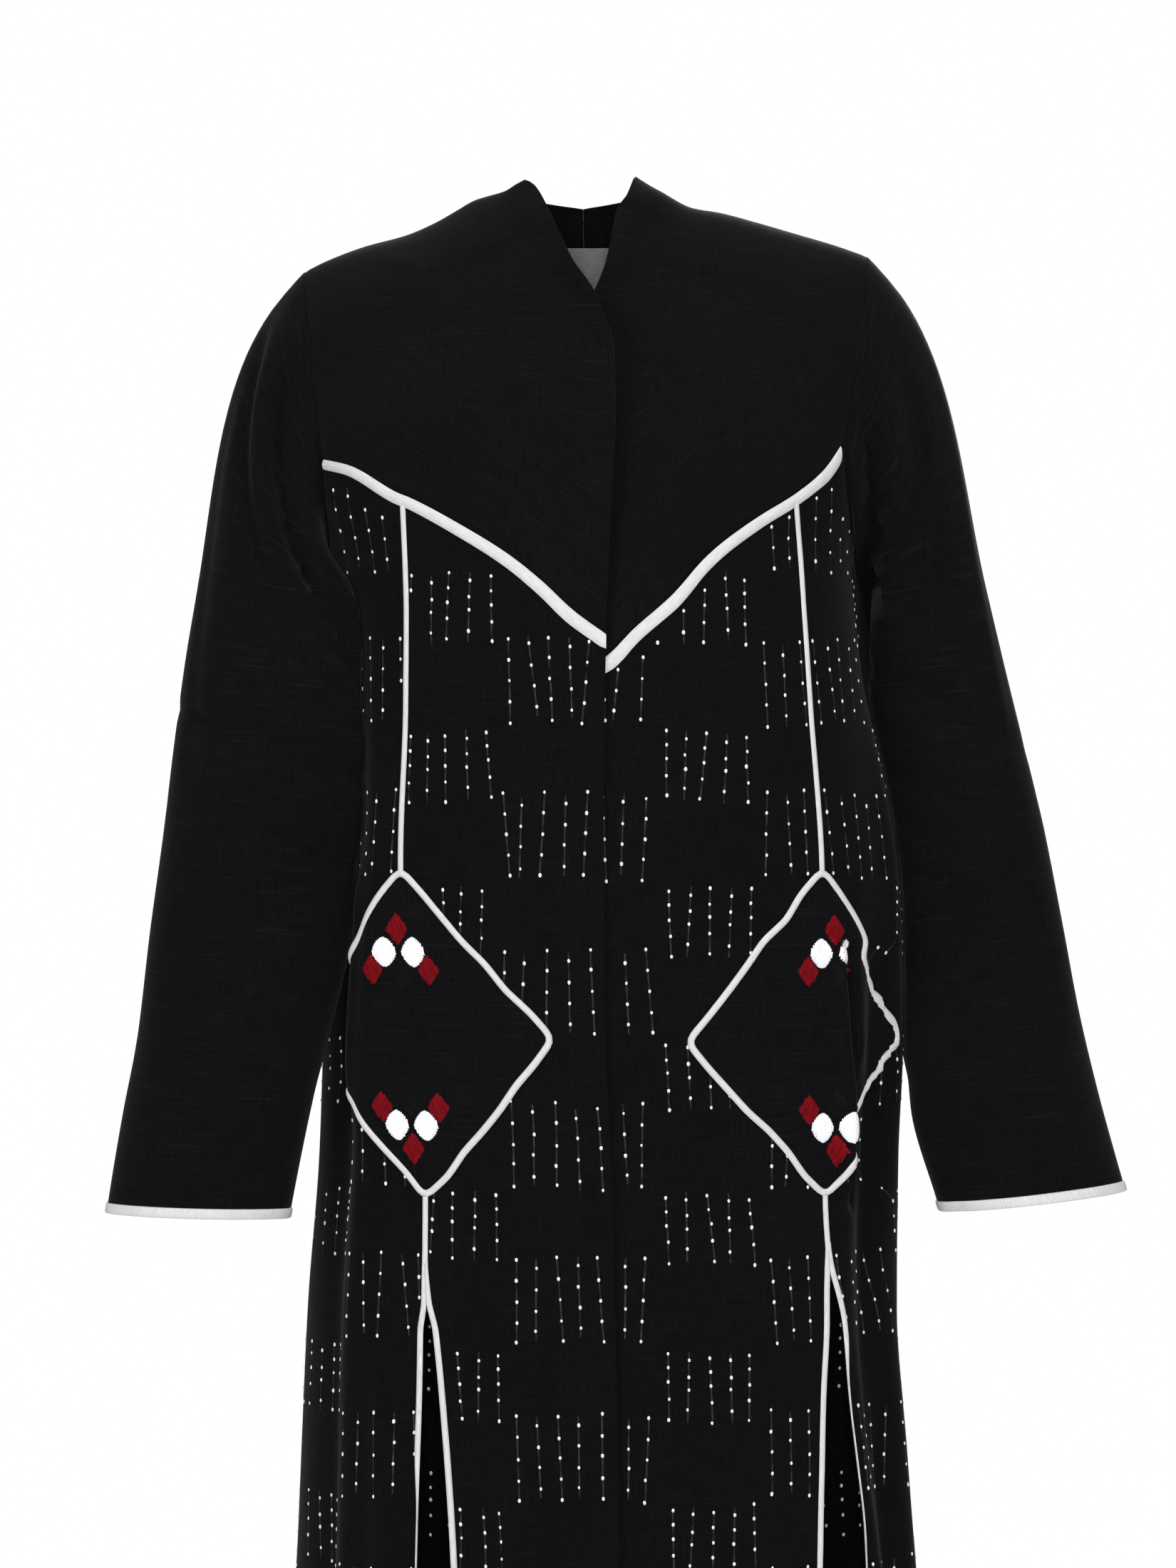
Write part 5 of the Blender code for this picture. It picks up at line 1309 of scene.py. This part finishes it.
def arm_low_turn(side, z):
    """Turn of the armhole's front edge at a height, by walking its curve."""
    arm_turn, arm_z = arm_start(side)
    share = np.linspace(0, 1, 60)
    heights, turns = arm_curve(arm_z, side, share), mix(arm_turn * side, SIDE_TURN, share)
    return np.interp(-z, -heights, turns) - ARMHOLE_CLEAR_TURN


def back_pattern():
    def place(u, z):
        turn = shift_turn(180.0 + 0 * z, z, u)
        away = np.abs(turn - 180)
        limit = np.where(z > UNDERARM_Z[1] - 10, 180 - BACK_ARM_TURN - BACK_ARM_CLEAR_TURN, 180 - SIDE_TURN - 1)
        return turn, (away < limit) & (z < BACK_SEAM_Z - BACK_SEAM_CLEAR)
    return Panel(-520.0, 520.0, 7.0, place, False)


# Embroidery, label and sewing
Diamond = namedtuple("Diamond", "across z half_width half_height colour")
RED, WHITE, BLACK = "red", "white", "black"
MOTIF = table(
    Diamond, (0, 0, 7.9, 10.6, RED), (-10.6, -15.2, 8.6, 10.2, WHITE), (10.6, -15.2, 8.6, 10.2, WHITE),
    (-20.6, -27, 7.7, 10.2, RED), (20.6, -27, 7.7, 10.2, RED), (0, -30.5, 7.6, 9.6, BLACK))
Motif = namedtuple("Motif", "across z way")
# A satin stitch: how full the diamonds are, the threads' spacing and section, and how their ends sink
BULGE = {RED: 1.15, WHITE: 1.55, BLACK: 1.15}
LEAN = {RED: -28, WHITE: -8, BLACK: -28}
STITCH_PITCH, STITCH_REACH, STITCH_SAMPLES = 1.05, 14.0, 113
STITCH_SECTION = ((-0.58, 0.0), (-0.36, 0.32), (0.0, 0.5), (0.36, 0.32), (0.58, 0.0))
STITCH_ENDS = (0.0, 0.6, 0.9, 1, 1, 1, 0.9, 0.6, 0.0)
STITCH_BASE = 2.0
PAD_HEIGHT = 1.15
MOTIFS = {-1: table(Motif, (4, -483.7, 1), (6.5, -627.8, -1)), 1: table(Motif, (8, -484.7, 1), (8, -629.6, -1))}


def satin_diamond(name, side, centre, diamond, lean, material):
    """A diamond of slanted threads lying side by side over a low pad."""
    across = np.array([math.cos(lean), math.sin(lean)])
    way = np.array([-math.sin(lean), math.cos(lean)])
    bulge = BULGE[diamond.colour]
    points, faces, uvs = [], [], []
    rough = np.random.default_rng(int(abs(centre[0] * 7 + centre[1])) + 3)

    def inside(p):
        return (abs(p[0]) / diamond.half_width) ** bulge + (abs(p[1]) / diamond.half_height) ** bulge

    for step in np.arange(-STITCH_REACH, STITCH_REACH, STITCH_PITCH):
        samples = [s for s in np.linspace(-STITCH_REACH, STITCH_REACH, STITCH_SAMPLES)
                   if inside(across * step + way * s) < 1]
        if len(samples) < 3:
            continue
        low, high = samples[0] + rough.normal(0, 0.18), samples[-1] + rough.normal(0, 0.18)
        along = np.linspace(low, high, len(STITCH_ENDS))
        middle = np.array([across * (step + rough.normal(0, 0.05)) + way * s for s in along])
        pad = np.array([max(0.0, 1 - inside(p)) for p in middle]) ** 0.45 * PAD_HEIGHT
        start = len(points)
        for p, height, end in zip(middle, pad, STITCH_ENDS):
            for offset, rise in STITCH_SECTION:
                q = p + across * offset
                points.append((centre[0] + q[0], centre[1] + q[1], STITCH_BASE + height + rise * end))
        for k in range(8):
            for j in range(4):
                a = start + 5 * k + j
                faces.append((a, a + 1, a + 6, a + 5))
                uvs += [(step * 3 + j * 0.17, along[k]), (step * 3 + j * 0.17 + 0.17, along[k]),
                        (step * 3 + j * 0.17 + 0.17, along[k + 1]), (step * 3 + j * 0.17, along[k + 1])]
    points = np.array(points)
    places, normals = pocket_place(side, points[:, :2])
    item = make_object(name, places + normals * points[:, 2:], faces, material, np.array(uvs), sharp=80)
    flip_to(item, normals[0])
    return item


def add_embroidery(name, side, threads):
    """The motifs of one pocket, joined into one piece for each colour."""
    pieces = {RED: [], WHITE: [], BLACK: []}
    for k, motif in enumerate(MOTIFS[side]):
        for j, diamond in enumerate(MOTIF):
            centre = (motif.across + diamond.across, motif.z + diamond.z * motif.way)
            lean = math.radians(LEAN[diamond.colour])
            pieces[diamond.colour].append(
                satin_diamond(f"diamond_{name}_{k}_{j}", side, centre, diamond, lean, threads[diamond.colour]))
    for colour, items in pieces.items():
        whole = join(*items)
        whole.name = f"embroidery_{colour}_{name}"
        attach(whole, "root")


def back_yoke_at(x, z):
    """Point and outward normal of the back yoke nearest an x and height near centre back."""
    side = -1 if x < 0 else 1
    u, v = 0.1, 0.8
    for _ in range(30):
        point = back_yoke_point(side, u, v)
        u = min(0.5, max(0.0, u + (x - point[0]) * side / 180))
        v = min(0.99, max(0.1, v + (z - point[2]) / 260))
    normal = yoke_normal(back_yoke_point, side, -side, np.array([u]), np.array([v]))[0]
    return back_yoke_point(side, u, v), normal


def add_label(material):
    """The bare label, sewn inside the back neck."""
    rows, outs = [], []
    for j in range(LABEL_ROWS + 1):
        z = LABEL_TOP_Z - LABEL_DROP * j / LABEL_ROWS
        line = [back_yoke_at(mix(-LABEL_WIDTH / 2, LABEL_WIDTH / 2, i / LABEL_COLUMNS) + LABEL_SHIFT, z)
                for i in range(LABEL_COLUMNS + 1)]
        rows.append([point for point, _ in line])
        outs.append([out for _, out in line])
    points, outs = np.array(rows), np.array(outs)
    label = shell("label_cloth", points - outs * LABEL_DEPTH, -outs, cut_of(points), material, thick=LABEL_THICK)
    dress(label, "neck_label")


def strand(name, points, material, radius):
    """A short round thread along points."""
    points = np.array(points, float)
    way = unit(np.gradient(points, axis=0))
    first = unit(np.cross(way, np.array([0.3, 1.0, 0.2])))
    second = np.cross(way, first)
    ring = [points + (first * math.cos(a) + second * math.sin(a)) * radius for a in np.radians(np.arange(0, 360, 60))]
    grid = np.array(ring).transpose(1, 0, 2)
    count = len(points)
    faces = [(6 * i + k, 6 * i + (k + 1) % 6, 6 * i + 6 + (k + 1) % 6, 6 * i + 6 + k)
             for i in range(count - 1) for k in range(6)]
    faces += [tuple(range(6))[::-1], tuple(6 * (count - 1) + k for k in range(6))]
    uvs = [(k, i) for i in range(count - 1) for _ in range(6) for k, i in ((0, i), (1, i), (1, i + 1), (0, i + 1))]
    uvs += [(0, 0)] * 12
    item = make_object(name, grid.reshape(-1, 3), faces, material, np.array(uvs, float), sharp=80)
    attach(item, "root")
    return item


# The tack's x, height and how far it stands off the cloth, beyond its own thickness; its place across the yoke
TACK_ACROSS = 0.12
TACK_LIFT = 0.9
TACK_RADIUS = 0.32
TACK = ((8.7, -98.0, 0.1), (9.0, -99.2, 0.6), (9.5, -100.6, 0.7), (10.1, -102.2, 0.6), (10.5, -103.2, 0.1))


def add_tack(material):
    """The small white thread tack left on the right front's lap edge."""
    u = np.linspace(0, 1, 400)
    points = front_yoke_point(-1, TACK_ACROSS + 0 * u, u)
    line = []
    for x, z, stand in TACK:
        line.append((x, points[np.argmin(np.abs(points[:, 2] - z)), 1] - TACK_LIFT - stand, z))
    item = strand("tack", line, material, TACK_RADIUS)


# The scene
def add_stage():
    """White surroundings as the camera sees them, softboxes and a pale floor."""
    bpy.context.scene.view_settings.view_transform = "Standard"
    world = bpy.data.worlds.new("studio")
    bpy.context.scene.world = world
    world.use_nodes = True
    tree = world.node_tree
    ground = tree.nodes["Background"]
    ground.inputs["Color"].default_value = (0.95, 0.97, 1.0, 1)
    ground.inputs["Strength"].default_value = WORLD_LIGHT
    seen = tree.nodes.new("ShaderNodeBackground")
    seen.inputs["Color"].default_value = (1, 1, 1, 1)
    seen.inputs["Strength"].default_value = 1.0
    path = tree.nodes.new("ShaderNodeLightPath")
    both = tree.nodes.new("ShaderNodeMixShader")
    tree.links.new(path.outputs["Is Camera Ray"], both.inputs["Fac"])
    tree.links.new(ground.outputs["Background"], both.inputs[1])
    tree.links.new(seen.outputs["Background"], both.inputs[2])
    tree.links.new(both.outputs["Shader"], tree.nodes["World Output"].inputs["Surface"])
    for name, place, target, size, watts, color in LIGHTS:
        data = bpy.data.lights.new(name, "AREA")
        data.shape = "RECTANGLE"
        data.size, data.size_y = size
        data.energy = watts
        data.color = color
        item = bpy.data.objects.new(name, data)
        item.location = place
        item.rotation_euler = (Vector(target) - Vector(place)).to_track_quat("-Z", "Y").to_euler()
        bpy.context.scene.collection.objects.link(item)
    angles = np.radians(np.arange(0, 360, 5))
    rim = [(FLOOR_RADIUS * math.cos(a), FLOOR_RADIUS * math.sin(a), FLOOR_Z) for a in angles]
    pale = bpy.data.materials.new("floor")
    pale.use_nodes = True
    shader = pale.node_tree.nodes["Principled BSDF"]
    shader.inputs["Base Color"].default_value = (0.82, 0.82, 0.82, 1)
    shader.inputs["Roughness"].default_value = 0.9
    floor = make_object("floor", rim, [tuple(range(len(rim)))], pale)


def add_camera():
    """The photo's view."""
    data = bpy.data.cameras.new("camera")
    data.sensor_fit = "VERTICAL"
    data.sensor_height = 36
    data.lens = 36 * CAMERA_AWAY / FRAME_HEIGHT
    data.clip_end = 50
    item = bpy.data.objects.new("camera", data)
    item.location = (CAMERA_X, -CAMERA_AWAY, CAMERA_Z)
    item.rotation_euler = (math.radians(90), 0, 0)
    bpy.context.scene.collection.objects.link(item)
    bpy.context.scene.camera = item


def main():
    plain = black_cloth("plain_black_cloth", (0.0003, 0.0003, 0.0005), (0.0039, 0.0039, 0.0050), 0.9)
    dotted = black_cloth("dotted_black_cloth", (0.0003, 0.0003, 0.0005), (0.0035, 0.0035, 0.0046), 0.4)
    trim = binding_cloth("binding_cloth")
    dot = thread_cloth("dot_thread", (0.66, 0.65, 0.63), (0.86, 0.85, 0.83), 0.6, 0.3)
    thread = thread_cloth("pale_thread", (0.003, 0.003, 0.0035), (0.034, 0.034, 0.037), 0.8, 0.08, (300, 90))
    silks = {RED: thread_cloth("red_thread", (0.085, 0.001, 0.003), (0.24, 0.004, 0.009), 0.65, 0.05, (800, 90)),
             WHITE: thread_cloth("white_thread", (0.76, 0.75, 0.81), (0.90, 0.89, 0.94), 0.5, 0.3),
             BLACK: thread_cloth("black_thread", (0.001, 0.001, 0.001), (0.003, 0.003, 0.003), 0.6, 0.08)}
    add_panel("back", CUT_START["back"], back_grid(), dotted)
    for name, side in SIDES.items():
        add_panel(f"centre_front_{name}", CUT_START["centre_front"], centre_grid(side), dotted, side > 0)
        add_panel(f"side_front_{name}", CUT_START["side_front"], side_grid(side), dotted)
        add_yokes(name, side, plain)
        add_sleeve(name, side, plain, trim)
        add_pocket(name, side, plain, trim)
        add_trims(name, side, trim)
        add_embroidery(name, side, silks)
    for name, panel, seed in (("centre_front_right", centre_pattern(-1, 9.5), 101),
                              ("centre_front_left", centre_pattern(1, 3.6), 102),
                              ("side_front_right", side_pattern(-1, 4.0), 103),
                              ("side_front_left", side_pattern(1, 5.0), 104), ("back", back_pattern(), 105)):
        add_dots(name, panel, dot, thread, seed)
    add_dots("back_inside", back_pattern(), dot, thread, 105, inside=True)
    add_label(label_cloth("label_weave"))
    add_tack(silks[WHITE])
    add_stage()
    add_camera()


main()
